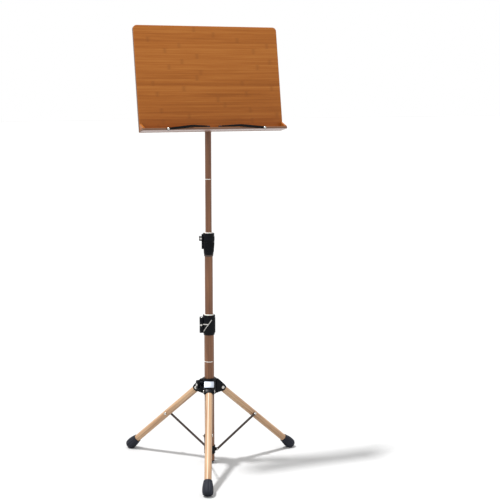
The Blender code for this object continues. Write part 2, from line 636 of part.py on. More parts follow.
def socket_parts(swivel):
    low, high = SOCKET_Z
    bore = UPPER_TUBE_R + GAP
    profile = [(0, high), (SOCKET_R - 3 * MM, high), (SOCKET_R, high - 3 * MM), (SOCKET_R, low + 1.5 * MM),
               (SOCKET_R - 1.5 * MM, low), (bore, low), (bore, SOCKET_BORE_TOP), (0, SOCKET_BORE_TOP)]
    socket = turned("desk_socket", swivel, profile, black_plastic())
    outline = [(-TILT_TONGUE_R, high - 6 * MM), (TILT_TONGUE_R, high - 6 * MM)]
    outline += arc((0, TILT_Z), TILT_TONGUE_R, 0, 180, 10)
    tongue = plate("socket_tongue", swivel, [outline], 2 * TILT_TONGUE_HALF, None, rotation=CROSSWISE)
    boss_at, hole_at = (-12 * MM, 0, SOCKET_KNOB_Z), (-18 * MM, 0, SOCKET_KNOB_Z)
    boss = cut_rod("socket_boss", swivel, 6 * MM, 12 * MM, boss_at, ALONG_X)
    bore_at = (0, 0, SOCKET_BORE_TOP - 50 * MM)
    tube_bore = cut_rod("socket_bore", swivel, bore, 100 * MM, bore_at, steps=SIDES)
    hinge_hole = cut_rod("socket_hinge_hole", swivel, TILT_BOLT_R + GAP, 60 * MM, (0, 0, TILT_Z), ALONG_X)
    screw_hole = cut_rod("socket_screw_hole", swivel, SOCKET_STUD_R + GAP, 20 * MM, hole_at, ALONG_X)
    combine(socket, "UNION", tongue, boss)
    combine(socket, "DIFFERENCE", tube_bore, hinge_hole, screw_hole)


def lobed_outline(radius, lobes, depth, count):
    points = []
    for i in range(count):
        angle = 2 * math.pi * i / count
        reach = radius - depth * (1 - math.cos(lobes * angle)) / 2
        points.append((reach * math.cos(angle), reach * math.sin(angle)))
    return points


def socket_knob(swivel):
    outline = lobed_outline(8.5 * MM, 5, 1.6 * MM, 30)
    where = (-25.5 * MM, 0, SOCKET_KNOB_Z)
    knob = plate("socket_knob", swivel, [outline], 13 * MM, black_plastic(), where, ALONG_X)
    start = UPPER_TUBE_R + GAP
    length = 20 * MM - start
    stud_at = (-start - length / 2, 0, SOCKET_KNOB_Z)
    stud = cut_rod("socket_stud", swivel, SOCKET_STUD_R, length, stud_at, ALONG_X)
    combine(knob, "UNION", stud)


def tilt_parts(desk):
    """The desk's steel bracket, the bolt across its ears and the knob that tightens it."""
    plate_y = DESK_BACK_Y + GAP
    outline = rounded_rectangle((-36 * MM, -45 * MM), (36 * MM, 36 * MM), [6 * MM] * 4, 3)
    root_y = plate_y + 1 * MM
    bracket = plate("tilt_bracket", desk, [outline], 2 * MM, black_steel(), (0, root_y, 0), SIDE_VIEW)
    ear = [(root_y, -22 * MM)] + arc((0, 0), TILT_TONGUE_R, -90, 90, 8) + [(root_y, 22 * MM)]
    offset = TILT_TONGUE_HALF + GAP + EAR_THICK / 2
    ears = [plate(f"ear_{name}", desk, [ear], EAR_THICK, None, (x, 0, 0), CROSSWISE)
            for name, x in (("left", -offset), ("right", offset))]
    hole = cut_rod("ear_holes", desk, TILT_BOLT_R + GAP, 60 * MM, rotation=ALONG_X)
    combine(bracket, "UNION", *ears)
    combine(bracket, "DIFFERENCE", hole)
    outside = TILT_TONGUE_HALF + GAP + EAR_THICK + GAP
    profile = [(0, outside + 4 * MM), (4.5 * MM, outside + 4 * MM), (5.5 * MM, outside + 3 * MM),
               (5.5 * MM, outside), (TILT_BOLT_R, outside), (TILT_BOLT_R, -28 * MM), (0, -28 * MM)]
    turned("tilt_bolt", desk, profile, bright_steel(), rotation=ALONG_X, steps=SMALL_SIDES)
    hole_outline = arc((0, 0), TILT_BOLT_R + GAP, 0, 337.5, 15)
    lobes = lobed_outline(15 * MM, 6, 2.4 * MM, 48)
    knob_half = 9 * MM
    plate("tilt_knob", desk, [lobes, hole_outline], 2 * knob_half, black_plastic(),
          (-outside - knob_half, 0, 0), ALONG_X)


# Desk

def desk_board(desk):
    half = DESK_WIDTH / 2
    outline = rounded_rectangle((-half, PANEL_Z[0]), (half, PANEL_Z[1]),
                                [1 * MM, 1 * MM, PANEL_CORNER_R, PANEL_CORNER_R], 6)
    middle_y = DESK_BACK_Y - PANEL_THICK / 2
    panel = plate("desk_panel", desk, [outline], PANEL_THICK, bamboo(), (0, middle_y, 0), SIDE_VIEW)
    bevelled(panel, 2.5 * MM)
    front = DESK_BACK_Y - PANEL_THICK - GAP
    ledge_front = front - LEDGE_DEPTH
    radii = [5 * MM, 5 * MM, 0.5 * MM, 0.5 * MM]
    outline = rounded_rectangle((-half, ledge_front), (half, front), radii, 4)
    middle_z = PANEL_Z[0] + LEDGE_THICK / 2
    ledge = plate("desk_ledge", desk, [outline], LEDGE_THICK, bamboo(), (0, 0, middle_z))
    bevelled(ledge, 1.2 * MM)
    holes = [cut_rod(f"ledge_screw_hole_{side}", desk, CLIP_SCREW_R + GAP, 2 * (CLIP_SCREW_DEPTH + 1 * MM),
                     (x, ledge_front, CLIP_PIN_Z), ALONG_Y)
             for side, x in (("left", -CLIP_X), ("right", CLIP_X))]
    combine(ledge, "DIFFERENCE", *holes)
    ledge_cheeks(desk, front)
    return ledge_front


def ledge_cheeks(desk, front):
    """Low wedges that close the ledge's ends."""
    low = PANEL_Z[0] + LEDGE_THICK + GAP
    outline = [(front, low), (front, low + CHEEK_RISE), (front - 3 * MM, low + CHEEK_RISE),
               (front - CHEEK_RUN, low + 2 * MM), (front - CHEEK_RUN, low)]
    offset = DESK_WIDTH / 2 - CHEEK_THICK / 2 - 0.6 * MM
    for side, x in (("left", -offset), ("right", offset)):
        cheek = plate(f"ledge_cheek_{side}", desk, [outline], CHEEK_THICK, bamboo(), (x, 0, 0), CROSSWISE)
        bevelled(cheek, 0.8 * MM, 1)


def clip_screw(name, desk, ledge_front, x):
    """A screw in the ledge's front edge; the clip turns on its shank."""
    head = ledge_front - CLIP_THICK - 2 * GAP
    end = ledge_front + CLIP_SCREW_DEPTH
    profile = [(0, end), (CLIP_SCREW_R, end), (CLIP_SCREW_R, head), (3.8 * MM, head),
               (3.4 * MM, head - 1.2 * MM), (1.8 * MM, head - 2 * MM), (0, head - 2.1 * MM)]
    turned(name, desk, profile, bright_steel(), (x, 0, CLIP_PIN_Z), ALONG_Y, steps=SMALL_SIDES)


def clip_path(mirror):
    """Centre line of a folded clip from its pin: along the ledge, then inwards to the tip."""
    elbow = (CLIP_ARM * math.cos(CLIP_RISE), 0, CLIP_ARM * math.sin(CLIP_RISE))
    tip = (elbow[0] + CLIP_FINGER, CLIP_INWARD, elbow[2])
    near = 0.9
    before = [near * c for c in elbow]
    after = [e + (1 - near) * (t - e) for e, t in zip(elbow, tip)]
    soft = [(b + 2 * e + a) / 4 for b, e, a in zip(before, elbow, after)]
    return [(x * mirror, y, z) for x, y, z in ((0, 0, 0), before, soft, after, tip)]


def page_clip(name, hinge, mirror):
    """A bent flat strip with a round eye; its origin is on its screw."""
    shape = bmesh.new()
    path = clip_path(mirror)
    verts = [shape.verts.new((x, y, z - CLIP_WIDTH / 2)) for x, y, z in path]
    edges = [shape.edges.new(pair) for pair in zip(verts, verts[1:])]
    grown = bmesh.ops.extrude_edge_only(shape, edges=edges)["geom"]
    raised = [item for item in grown if isinstance(item, bmesh.types.BMVert)]
    bmesh.ops.translate(shape, verts=raised, vec=(0, 0, CLIP_WIDTH))
    bmesh.ops.recalc_face_normals(shape, faces=shape.faces)
    mesh = bpy.data.meshes.new(name)
    shape.to_mesh(mesh)
    shape.free()
    clip = place(bpy.data.objects.new(name, mesh), hinge, black_steel(), (0, 0, 0), (0, 0, 0))
    wall = clip.modifiers.new("thickness", "SOLIDIFY")
    wall.thickness = CLIP_THICK
    wall.offset = 0
    eye = cut_rod(f"{name}_eye", hinge, 4.6 * MM, CLIP_THICK, rotation=ALONG_Y, steps=20)
    hole = cut_rod(f"{name}_hole", hinge, CLIP_SCREW_R + GAP, 10 * MM, rotation=ALONG_Y)
    tip = path[-1]
    half = 30 * MM
    seat_at = (tip[0] + mirror * (half - CLIP_TIP_SEAT), tip[1], tip[2])
    seat = box(f"{name}_tip_seat", hinge, (-half, -half, -half), (half, half, half), None, seat_at)
    combine(clip, "UNION", eye)
    combine(clip, "DIFFERENCE", hole, seat)
    return tip


def clip_tip(name, hinge, tip, mirror):
    """A rounded rubber end that closes on the clip's finger."""
    radius = 3.4 * MM
    profile = [(0, 5 * MM)] + [(radius * math.cos(a), 1.8 * MM + radius * math.sin(a))
                               for a in (math.radians(60), math.radians(30), 0.0)]
    profile += [(radius, -4 * MM), (0, -4 * MM)]
    where = (tip[0] - mirror * (CLIP_TIP_SEAT - 4 * MM - GAP), tip[1], tip[2])
    turned(name, hinge, profile, rubber(), where, (0, mirror * math.pi / 2, 0), steps=SMALL_SIDES)


def clips(desk, ledge_front):
    for side, mirror in (("left", 1), ("right", -1)):
        x = -mirror * CLIP_X
        clip_screw(f"clip_screw_{side}", desk, ledge_front, x)
        hinge = joint_axis(f"clip_{side}", desk, (x, ledge_front - GAP - CLIP_THICK / 2, CLIP_PIN_Z))
        tip = page_clip(f"page_clip_{side}", hinge, mirror)
        clip_tip(f"clip_tip_{side}", hinge, tip, mirror)


def build():
    column = joint_axis("column")
    hub_slide = joint_axis("hub_slide", column)
    middle = joint_axis("middle_slide", column)
    upper = joint_axis("upper_slide", middle)
    swivel = joint_axis("desk_swivel", upper)
    desk = joint_axis("desk_tilt", swivel, (0, 0, TILT_Z), (-DESK_TILT, 0, 0))
    column_tubes(column, middle, upper)
    end_plug(column)
    lower_collar(column)
    slide_guide("middle_guide", middle, MIDDLE_TUBE_R, MIDDLE_TUBE_Z[0], LOWER_TUBE_R - TUBE_WALL)
    slide_guide("upper_guide", upper, UPPER_TUBE_R, UPPER_TUBE_Z[0], MIDDLE_TUBE_R - TUBE_WALL)
    clamp_parts("lower", column, LOWER_CLAMP)
    clamp_parts("upper", middle, UPPER_CLAMP)
    clamp_ring(middle, UPPER_CLAMP)
    knob_spoke = hub_solid(hub_slide)
    hub_knob(knob_spoke)
    hub_plate(hub_slide)
    for side in LEG_TURNS:
        leg_parts(side, hub_slide)
        brace_parts(side, column)
    socket_parts(swivel)
    socket_knob(swivel)
    tilt_parts(desk)
    clips(desk, desk_board(desk))


clear_scene()
PARTS = new_collection("music_stand")
CUTTERS = new_collection("cutters")
CUTTERS.hide_render = True
build()
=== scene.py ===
"""The looks of a bamboo-desked music stand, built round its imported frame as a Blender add-on's operators."""
import json
import math

import bmesh
import bpy
from bpy.props import FloatProperty, FloatVectorProperty, IntProperty, PointerProperty
from bpy.types import Operator, Panel, PropertyGroup
from mathutils import Matrix, Vector


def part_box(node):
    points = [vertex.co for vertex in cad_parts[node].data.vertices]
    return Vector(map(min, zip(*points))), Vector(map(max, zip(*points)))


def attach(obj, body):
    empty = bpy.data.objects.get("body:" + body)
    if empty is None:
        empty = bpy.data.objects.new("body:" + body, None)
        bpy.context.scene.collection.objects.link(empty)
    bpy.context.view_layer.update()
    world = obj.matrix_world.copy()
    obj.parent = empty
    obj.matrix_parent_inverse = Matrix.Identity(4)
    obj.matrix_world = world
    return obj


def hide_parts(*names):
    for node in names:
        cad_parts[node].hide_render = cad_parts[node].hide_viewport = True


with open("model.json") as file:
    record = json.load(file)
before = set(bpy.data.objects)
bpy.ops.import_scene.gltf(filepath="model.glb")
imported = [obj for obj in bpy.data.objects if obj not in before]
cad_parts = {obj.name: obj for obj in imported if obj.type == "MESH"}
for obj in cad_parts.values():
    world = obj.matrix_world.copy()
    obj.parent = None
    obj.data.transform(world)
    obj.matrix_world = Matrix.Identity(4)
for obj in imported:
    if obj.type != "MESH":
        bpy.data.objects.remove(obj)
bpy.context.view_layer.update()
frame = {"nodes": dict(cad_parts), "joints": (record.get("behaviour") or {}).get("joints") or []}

bl_info = {
    "name": "Music Stand",
    "version": (1, 0, 0),
    "blender": (4, 5, 0),
    "location": "View3D > Sidebar > Music Stand",
    "description": "Details and finishes for a telescopic music stand",
    "category": "Object",
}

MM = 0.001
SIDES = ("front", "left", "right")
JOINTS = {joint["name"]: joint for joint in frame["joints"]}
TURN_STEPS = 64
SHARP = math.radians(38)

# Which body each tube and clamp rides on, and the sizes that the frame doesn't state.
TUBE_NODES = {"lower_tube": "root", "middle_tube": "middle", "upper_tube": "upper"}
TUBE_WALL = 1.2 * MM
TUBE_EASE = 0.4 * MM                # rounding of the tubes' ends
LEG_R = 10 * MM
MARKS = (("lower_mark", "lower_tube", "root", 0.303), ("upper_mark", "upper_tube", "upper", 0.828))
MARK_PROUD = 0.12 * MM
CLAMP_TURN = math.radians(161)      # the clamps' lugs, from +X
CLAMP_BODIES = {"lower": "root", "upper": "middle"}
SLEEVE_TOP_R = {"lower": 17.8 * MM, "upper": 16.4 * MM}
SLEEVE_FOOT_R = {"lower": 16.5 * MM, "upper": 14.2 * MM}
BUSH_BORE_R = {"lower": 11.8 * MM, "upper": 9.3 * MM}
BUSH_SHOULDER_Z = {"lower": 430.3 * MM, "upper": 665.3 * MM}
RIB_COUNT = 30
BARE_HALF = math.radians(140)       # grip ribs stop this far round from the side opposite the lugs
BAIL_R = 22.9 * MM                  # from the column's axis to the wire's middle
BAIL_WIRE_R = 1.2 * MM
BAIL_ENDS = ((270, 428), (209, 394))        # degrees from +X, and height in mm
BAIL_STEPS = 14
CATCH_IN_R, CATCH_OUT_R = 22.4 * MM, 23.5 * MM
CATCH_SPAN = (202, 252)             # degrees from +X
HUB_NECK_R = 20 * MM
HUB_CHEEK = 14.8 * MM               # from an arm's middle to its rivet's head
RIVET_R, RIVET_RISE, RIVET_SHANK_R = 4.8 * MM, 2.4 * MM, 2.5 * MM
FOOT_BORE_R = 10.15 * MM
FOOT_OUTLINE = ((9.2, 0), (12.4, 1.0), (14.2, 3.2), (15.2, 7), (15.6, 12), (15.5, 18), (15.0, 24),
                (13.9, 31), (12.8, 36.5))   # radius, and distance from the foot's end, in mm
BRACKET_FACE_Y = -17.3 * MM
BRACKET_SCREWS = ((-28, -34), (28, -34), (-28, 26), (28, 26))
BOARD_CORNER, LEDGE_CORNER = 11 * MM, 5 * MM
SUN_FROM = (-0.284, 0.060, 0.957)   # towards the key light


def linear(code):
    """Linear colour of an sRGB hex code."""
    channels = [int(code[i:i + 2], 16) / 255 for i in (1, 3, 5)]
    return tuple(c / 12.92 if c <= 0.04045 else ((c + 0.055) / 1.055) ** 2.4 for c in channels)


# Frames of reference

def frame_at(origin, along, across):
    """Matrix of a frame whose X runs along and whose Y lies across."""
    x, y = Vector(along).normalized(), Vector(across).normalized()
    matrix = Matrix((x, y, x.cross(y))).transposed().to_4x4()
    matrix.translation = Vector(origin)
    return matrix


def middle_of(node):
    low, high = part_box(node)
    return (low + high) / 2


def spoke(side):
    """Unit vector from the column out along a leg's plan."""
    across = Vector(JOINTS[f"leg_{side}_fold"]["axis"])
    return across.cross(Vector((0, 0, 1))).normalized()


def leg_frame(side):
    """X runs down the leg from its hinge, Y lies along the hinge's pin."""
    joint = JOINTS[f"leg_{side}_fold"]
    hinge, across = Vector(joint["pos_m"]), Vector(joint["axis"])
    toe = middle_of(f"brace_bolt_{side}") - hinge
    along = toe - across * toe.dot(across)
    return frame_at(hinge, along, across)


def desk_frame():
    """X to the right, Y into the board and Z up it, from the tilt axis."""
    outward = Vector(JOINTS["clip_left_swing"]["axis"])
    return frame_at(JOINTS["desk_tilt"]["pos_m"], (1, 0, 0), -outward)


def clamp_frame():
    return Matrix.Rotation(CLAMP_TURN, 4, "Z")


TO_Z_ALONG_X = Matrix.Rotation(math.pi / 2, 4, "Y")     # stands a shape made about Z along X
TO_Z_ALONG_Y = Matrix.Rotation(-math.pi / 2, 4, "X")    # and along Y


# Shapes

def spun(shape, profile, steps=TURN_STEPS, closed=False):
    """Turns a profile of (radius, height) about Z."""
    verts = [shape.verts.new((radius, 0, height)) for radius, height in profile]
    edges = [shape.edges.new(pair) for pair in zip(verts, verts[1:])]
    if closed:
        edges.append(shape.edges.new((verts[-1], verts[0])))
    bmesh.ops.spin(shape, geom=verts + edges, cent=(0, 0, 0), axis=(0, 0, 1),
                   angle=2 * math.pi, steps=steps, use_merge=True)
    bmesh.ops.remove_doubles(shape, verts=shape.verts, dist=0.000002)
    return shape


def turned(profile, steps=TURN_STEPS, closed=False):
    return spun(bmesh.new(), profile, steps, closed)


def arc(centre, radius, start, end, count):
    """Points of an arc, both ends included; angles in degrees."""
    return [(centre[0] + radius * math.cos(math.radians(start + (end - start) * i / count)),
             centre[1] + radius * math.sin(math.radians(start + (end - start) * i / count)))
            for i in range(count + 1)]


def sharp_edges(shape, angle=math.radians(50)):
    return [edge for edge in shape.edges if edge.is_manifold and edge.calc_face_angle(0.0) > angle]


def soften(shape, width, segments=2, edges=None):
    """Rounds edges; all the sharp ones unless some are given."""
    bmesh.ops.bevel(shape, geom=edges or sharp_edges(shape), offset=width, offset_type="OFFSET",
                    affect="EDGES", segments=segments, profile=0.5, material=-1, clamp_overlap=True)


def slab(outline, thickness, rounding=0.0, segments=2):
    """An outline in XY, extruded both ways about its plane, with its rims rounded."""
    shape = bmesh.new()
    face = shape.faces.new([shape.verts.new((x, y, -thickness / 2)) for x, y in outline])
    grown = bmesh.ops.extrude_face_region(shape, geom=[face])["geom"]
    raised = [item for item in grown if isinstance(item, bmesh.types.BMVert)]
    bmesh.ops.translate(shape, verts=raised, vec=(0, 0, thickness))
    bmesh.ops.recalc_face_normals(shape, faces=shape.faces)
    if rounding:
        soften(shape, rounding, segments)
    return shape


def block(low, high, rounding=0.0, segments=2):
    """A box between two corners with its edges rounded."""
    shape = bmesh.new()
    bmesh.ops.create_cube(shape, size=1.0)
    size = [b - a for a, b in zip(low, high)]
    middle = [(a + b) / 2 for a, b in zip(low, high)]
    bmesh.ops.transform(shape, matrix=Matrix.Translation(middle) @ Matrix.Diagonal((*size, 1)),
                        verts=shape.verts)
    if rounding:
        soften(shape, rounding, segments, list(shape.edges))
    return shape


def joined(*shapes):
    """All the shapes in the first one."""
    for extra in shapes[1:]:
        mesh = bpy.data.meshes.new("joining")
        extra.to_mesh(mesh)
        extra.free()
        shapes[0].from_mesh(mesh)
        bpy.data.meshes.remove(mesh)
    return shapes[0]


def moved(shape, matrix):
    bmesh.ops.transform(shape, matrix=matrix, verts=shape.verts)
    return shape


def softened_copy(node, width, segments=2):
    """A copy of a frame solid, merged, with its sharp edges rounded."""
    shape = bmesh.new()
    shape.from_mesh(frame["nodes"][node].data)
    bmesh.ops.remove_doubles(shape, verts=shape.verts, dist=0.000004)
    bmesh.ops.dissolve_limit(shape, angle_limit=math.radians(0.6), verts=shape.verts, edges=shape.edges)
    soften(shape, width, segments)
    return shape


def face_finishes(shape, chosen):
    """Gives each face the number of its material in the piece's list, chosen by its normal."""
    shape.normal_update()
    for face in shape.faces:
        face.material_index = chosen(face.normal)
    return shape


def finished(shape, name, body, finish, where=None, replaces=(), more=()):
    """Makes a shape a piece: its place goes into its mesh, and its own coordinates into an attribute."""
    grain = shape.verts.layers.float_vector.new("grain_m")
    for vert in shape.verts:
        vert[grain] = vert.co
    if where is not None:
        bmesh.ops.transform(shape, matrix=where, verts=shape.verts)
    bmesh.ops.recalc_face_normals(shape, faces=shape.faces)
    mesh = bpy.data.meshes.new(name)
    shape.to_mesh(mesh)
    shape.free()
    mesh.shade_smooth()
    mesh.set_sharp_from_angle(angle=SHARP)
    for material in (finish, *more):
        mesh.materials.append(material)
    piece = bpy.data.objects.new(name, mesh)
    bpy.context.scene.collection.objects.link(piece)
    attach(piece, body)
    if replaces:
        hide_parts(*replaces)
    return piece


def paint(node, finish):
    """Gives a frame solid its finish."""
    mesh = frame["nodes"][node].data
    mesh.materials.clear()
    mesh.materials.append(finish)


# Materials

def add_node(tree, kind, settings=None, links=None):
    """Adds a node: settings go to its inputs or its own values, and links join sockets to its inputs."""
    node = tree.nodes.new(kind)
    for key, value in (settings or {}).items():
        if key == "stops":
            ramp = node.color_ramp
            for _ in value[2:]:
                ramp.elements.new(0.5)
            for element, (place, colour) in zip(ramp.elements, value):
                element.position = place
                element.color = (*colour, 1)
        elif isinstance(key, int) or key in node.inputs:
            node.inputs[key].default_value = value
        else:
            setattr(node, key, value)
    for key, source in (links or {}).items():
        tree.links.new(source, node.inputs[key])
    return node


def surface(name, settings):
    """A new material with its shader's constants set; returns it with its tree and shader."""
    made = bpy.data.materials.new(name)
    made.use_nodes = True
    shader = made.node_tree.nodes["Principled BSDF"]
    for key, value in settings.items():
        shader.inputs[key].default_value = value
    return made, made.node_tree, shader


def kept(name, maker):
    """A material made once and shared after."""
    return bpy.data.materials.get(name) or maker(name)


def laminated_bamboo(name):
    """Caramelised bamboo: planed strips glued side by side under satin lacquer. Fibre streaks run along
    each strip, and a darker knuckle crosses it about every 26 cm."""
    look = bpy.context.scene.stand_desk
    made, tree, shader = surface(name, {"Roughness": 0.4, "IOR": 1.5, "Specular IOR Level": 0.16})
    outward = Vector(JOINTS["clip_left_swing"]["axis"])
    tilt = math.atan2(outward.z, -outward.y)
    coords = add_node(tree, "ShaderNodeTexCoord")
    turn = add_node(tree, "ShaderNodeMapping", {"Rotation": (tilt - math.pi / 2, 0, 0)},
                    {"Vector": coords.outputs["Object"]})
    split = add_node(tree, "ShaderNodeSeparateXYZ", None, {"Vector": turn.outputs["Vector"]})
    strip = add_node(tree, "ShaderNodeMath", {"operation": "DIVIDE", 1: look.strip_height},
                     {0: split.outputs["Y"]})
    strip_number = add_node(tree, "ShaderNodeMath", {"operation": "FLOOR"}, {0: strip.outputs[0]})
    per_strip = add_node(tree, "ShaderNodeTexWhiteNoise", {"noise_dimensions": "1D"},
                         {"W": strip_number.outputs[0]})
    streak_map = add_node(tree, "ShaderNodeMapping", {"Scale": (5, 230, 230)},
                          {"Vector": turn.outputs["Vector"]})
    shifted = add_node(tree, "ShaderNodeVectorMath", {"operation": "MULTIPLY_ADD", 1: (40, 0, 0)},
                       {0: per_strip.outputs["Color"], 2: streak_map.outputs["Vector"]})
    streaks = add_node(tree, "ShaderNodeTexNoise", {"Scale": 1.0, "Detail": 4.0, "Roughness": 0.6},
                       {"Vector": shifted.outputs["Vector"]})
    fibre_map = add_node(tree, "ShaderNodeMapping", {"Scale": (30, 1400, 1400)},
                         {"Vector": turn.outputs["Vector"]})
    fibres = add_node(tree, "ShaderNodeTexNoise", {"Scale": 1.0, "Detail": 2.0},
                      {"Vector": fibre_map.outputs["Vector"]})
    tone = add_node(tree, "ShaderNodeMath", {"operation": "MULTIPLY_ADD", 1: 0.16},
                    {0: per_strip.outputs["Value"], 2: streaks.outputs["Fac"]})
    fine = add_node(tree, "ShaderNodeMath", {"operation": "MULTIPLY_ADD", 1: 0.22}, {0: fibres.outputs["Fac"],
                                                                                2: tone.outputs[0]})
    wood = add_node(tree, "ShaderNodeValToRGB", {"stops": [(0.38, look.bamboo_dark), (0.69, look.bamboo),
                                                           (0.96, look.bamboo_light)]},
                    {"Fac": fine.outputs[0]})
    along = add_node(tree, "ShaderNodeMath", {"operation": "MULTIPLY_ADD", 1: 1 / look.knuckle_spacing},
                     {0: split.outputs["X"], 2: per_strip.outputs["Value"]})
    wrapped = add_node(tree, "ShaderNodeMath", {"operation": "FRACT"}, {0: along.outputs[0]})
    centred = add_node(tree, "ShaderNodeMath", {"operation": "SUBTRACT", 1: 0.5}, {0: wrapped.outputs[0]})
    apart = add_node(tree, "ShaderNodeMath", {"operation": "ABSOLUTE"}, {0: centred.outputs[0]})
    knuckle = add_node(tree, "ShaderNodeMapRange", {"From Min": 0.0, "From Max": 0.03, "To Min": 0.5,
                                                    "To Max": 0.0}, {"Value": apart.outputs[0]})
    ragged = add_node(tree, "ShaderNodeMath", {"operation": "MULTIPLY"}, {0: knuckle.outputs[0],
                                                                     1: streaks.outputs["Fac"]})
    marked = add_node(tree, "ShaderNodeMix", {"data_type": "RGBA", 7: (*look.knuckle, 1)},
                      {0: ragged.outputs[0], 6: wood.outputs["Color"]})
    seam = add_node(tree, "ShaderNodeMath", {"operation": "FRACT"}, {0: strip.outputs[0]})
    seam_line = add_node(tree, "ShaderNodeMapRange", {"From Min": 0.0, "From Max": 0.03, "To Min": 0.22,
                                                      "To Max": 0.0}, {"Value": seam.outputs[0]})
    lined = add_node(tree, "ShaderNodeMix", {"data_type": "RGBA", 7: (*look.bamboo_dark, 1)},
                     {0: seam_line.outputs[0], 6: marked.outputs[2]})
    tree.links.new(lined.outputs[2], shader.inputs["Base Color"])
    gloss = add_node(tree, "ShaderNodeMapRange", {"To Min": 0.3, "To Max": 0.46},
                     {"Value": streaks.outputs["Fac"]})
    tree.links.new(gloss.outputs[0], shader.inputs["Roughness"])
    relief = add_node(tree, "ShaderNodeBump", {"Strength": 0.12, "Distance": 0.0002},
                      {"Height": fine.outputs[0]})
    tree.links.new(relief.outputs["Normal"], shader.inputs["Normal"])
    return made


def wood_print(name, dark, middle, light, coat):
    """Lacquer with a printed wood grain on drawn aluminium tube. The grain runs along the tube, and the
    clear top coat gives a long soft highlight."""
    made, tree, shader = surface(name, {"Roughness": 0.42, "IOR": 1.5, "Specular IOR Level": 0.4,
                                        "Coat Weight": coat, "Coat Roughness": 0.42})
    grain = add_node(tree, "ShaderNodeAttribute", {"attribute_name": "grain_m"})
    stretched = add_node(tree, "ShaderNodeMapping", {"Scale": (330, 330, 6)},
                         {"Vector": grain.outputs["Vector"]})
    lines = add_node(tree, "ShaderNodeTexNoise", {"Scale": 1.0, "Detail": 5.0, "Roughness": 0.62,
                                                  "Distortion": 0.4},
                     {"Vector": stretched.outputs["Vector"]})
    broad_map = add_node(tree, "ShaderNodeMapping", {"Scale": (70, 70, 9)},
                         {"Vector": grain.outputs["Vector"]})
    broad = add_node(tree, "ShaderNodeTexNoise", {"Scale": 1.0, "Detail": 2.0},
                     {"Vector": broad_map.outputs["Vector"]})
    summed = add_node(tree, "ShaderNodeMath", {"operation": "MULTIPLY_ADD", 1: 0.45},
                      {0: broad.outputs["Fac"], 2: lines.outputs["Fac"]})
    colour = add_node(tree, "ShaderNodeValToRGB", {"stops": [(0.5, dark), (0.72, middle), (0.95, light)]},
                      {"Fac": summed.outputs[0]})
    tree.links.new(colour.outputs["Color"], shader.inputs["Base Color"])
    gloss = add_node(tree, "ShaderNodeMapRange", {"To Min": 0.36, "To Max": 0.5},
                     {"Value": broad.outputs["Fac"]})
    tree.links.new(gloss.outputs[0], shader.inputs["Roughness"])
    relief = add_node(tree, "ShaderNodeBump", {"Strength": 0.06, "Distance": 0.0001},
                      {"Height": lines.outputs["Fac"]})
    tree.links.new(relief.outputs["Normal"], shader.inputs["Normal"])
    return made


def column_print(name):
    look = bpy.context.scene.stand_column
    return wood_print(name, look.print_dark, look.print_middle, look.print_light, 0.12)


# The legs' print is lighter than the column's: partly painted light, standing for the light from above that
# the sloping legs' upper sides catch.
def leg_print_painted_light(name):
    look = bpy.context.scene.stand_tripod
    return wood_print(name, look.print_dark, look.print_middle, look.print_light, 0.6)


def grained(name, settings, colour, second, grain_mm, relief, gloss):
    """A plain stock with a fine grain: two close colours in soft patches, and a pitted gloss."""
    made, tree, shader = surface(name, settings)
    coords = add_node(tree, "ShaderNodeTexCoord")
    patches = add_node(tree, "ShaderNodeTexNoise", {"Scale": 60.0, "Detail": 3.0},
                       {"Vector": coords.outputs["Object"]})
    pits = add_node(tree, "ShaderNodeTexNoise", {"Scale": 1000.0 / grain_mm, "Detail": 2.0, "Roughness": 0.7},
                    {"Vector": coords.outputs["Object"]})
    blend = add_node(tree, "ShaderNodeMix", {"data_type": "RGBA", 6: (*colour, 1), 7: (*second, 1)},
                     {0: patches.outputs["Fac"]})
    tree.links.new(blend.outputs[2], shader.inputs["Base Color"])
    rough = add_node(tree, "ShaderNodeMapRange", {"To Min": gloss[0], "To Max": gloss[1]},
                     {"Value": pits.outputs["Fac"]})
    tree.links.new(rough.outputs[0], shader.inputs["Roughness"])
    bumps = add_node(tree, "ShaderNodeBump", {"Strength": relief, "Distance": 0.0002},
                     {"Height": pits.outputs["Fac"]})
    tree.links.new(bumps.outputs["Normal"], shader.inputs["Normal"])
    return made


def moulded_nylon(name):
    """Glass-filled nylon, injection moulded in a spark-eroded tool: black with a soft satin speckle.
    The real grain is 0.1 mm; it is drawn at 0.9 mm so that it shows."""
    return grained(name, {"IOR": 1.53, "Specular IOR Level": 0.1}, linear("#050609"), linear("#0C0E13"),
                   0.9, 0.22, (0.26, 0.44))


def coated_steel(name):
    """Black powder-coated mild steel: a slight orange-peel under a satin gloss."""
    return grained(name, {"IOR": 1.5, "Specular IOR Level": 0.12}, linear("#060506"), linear("#0D0B0C"),
                   1.4, 0.15, (0.36, 0.5))


def phosphated_steel(name):
    """Phosphated and oiled steel strip: dark grey-brown and dull, with a faint crystalline mottle."""
    return grained(name, {"IOR": 1.5, "Specular IOR Level": 0.3}, linear("#3A302C"), linear("#4C403A"), 1.3,
                   0.12, (0.45, 0.62))


def moulded_rubber(name):
    """Compression-moulded rubber: blue-black, matt, with a dry bloom in patches."""
    return grained(name, {"IOR": 1.52, "Specular IOR Level": 0.25}, linear("#12141C"), linear("#1E212C"),
                   1.1, 0.3, (0.55, 0.78))


def natural_nylon(name):
    """Unfilled nylon in its milky natural white, moulded."""
    return grained(name, {"IOR": 1.53, "Subsurface Weight": 0.15, "Subsurface Scale": 0.002},
                   linear("#E9E6DC"), linear("#F2F0E8"), 1.2, 0.08, (0.35, 0.5))


def underside_painted_reflection(name):
    """The ledge's planed underside under a clear sealing coat: its bamboo brown is painted pale with a mauve
    cast, a painted reflection of the bright floor it faces.
    """
    return grained(name, {"IOR": 1.5}, linear("#8E7670"), linear("#9F8780"), 1.5, 0.05, (0.3, 0.42))


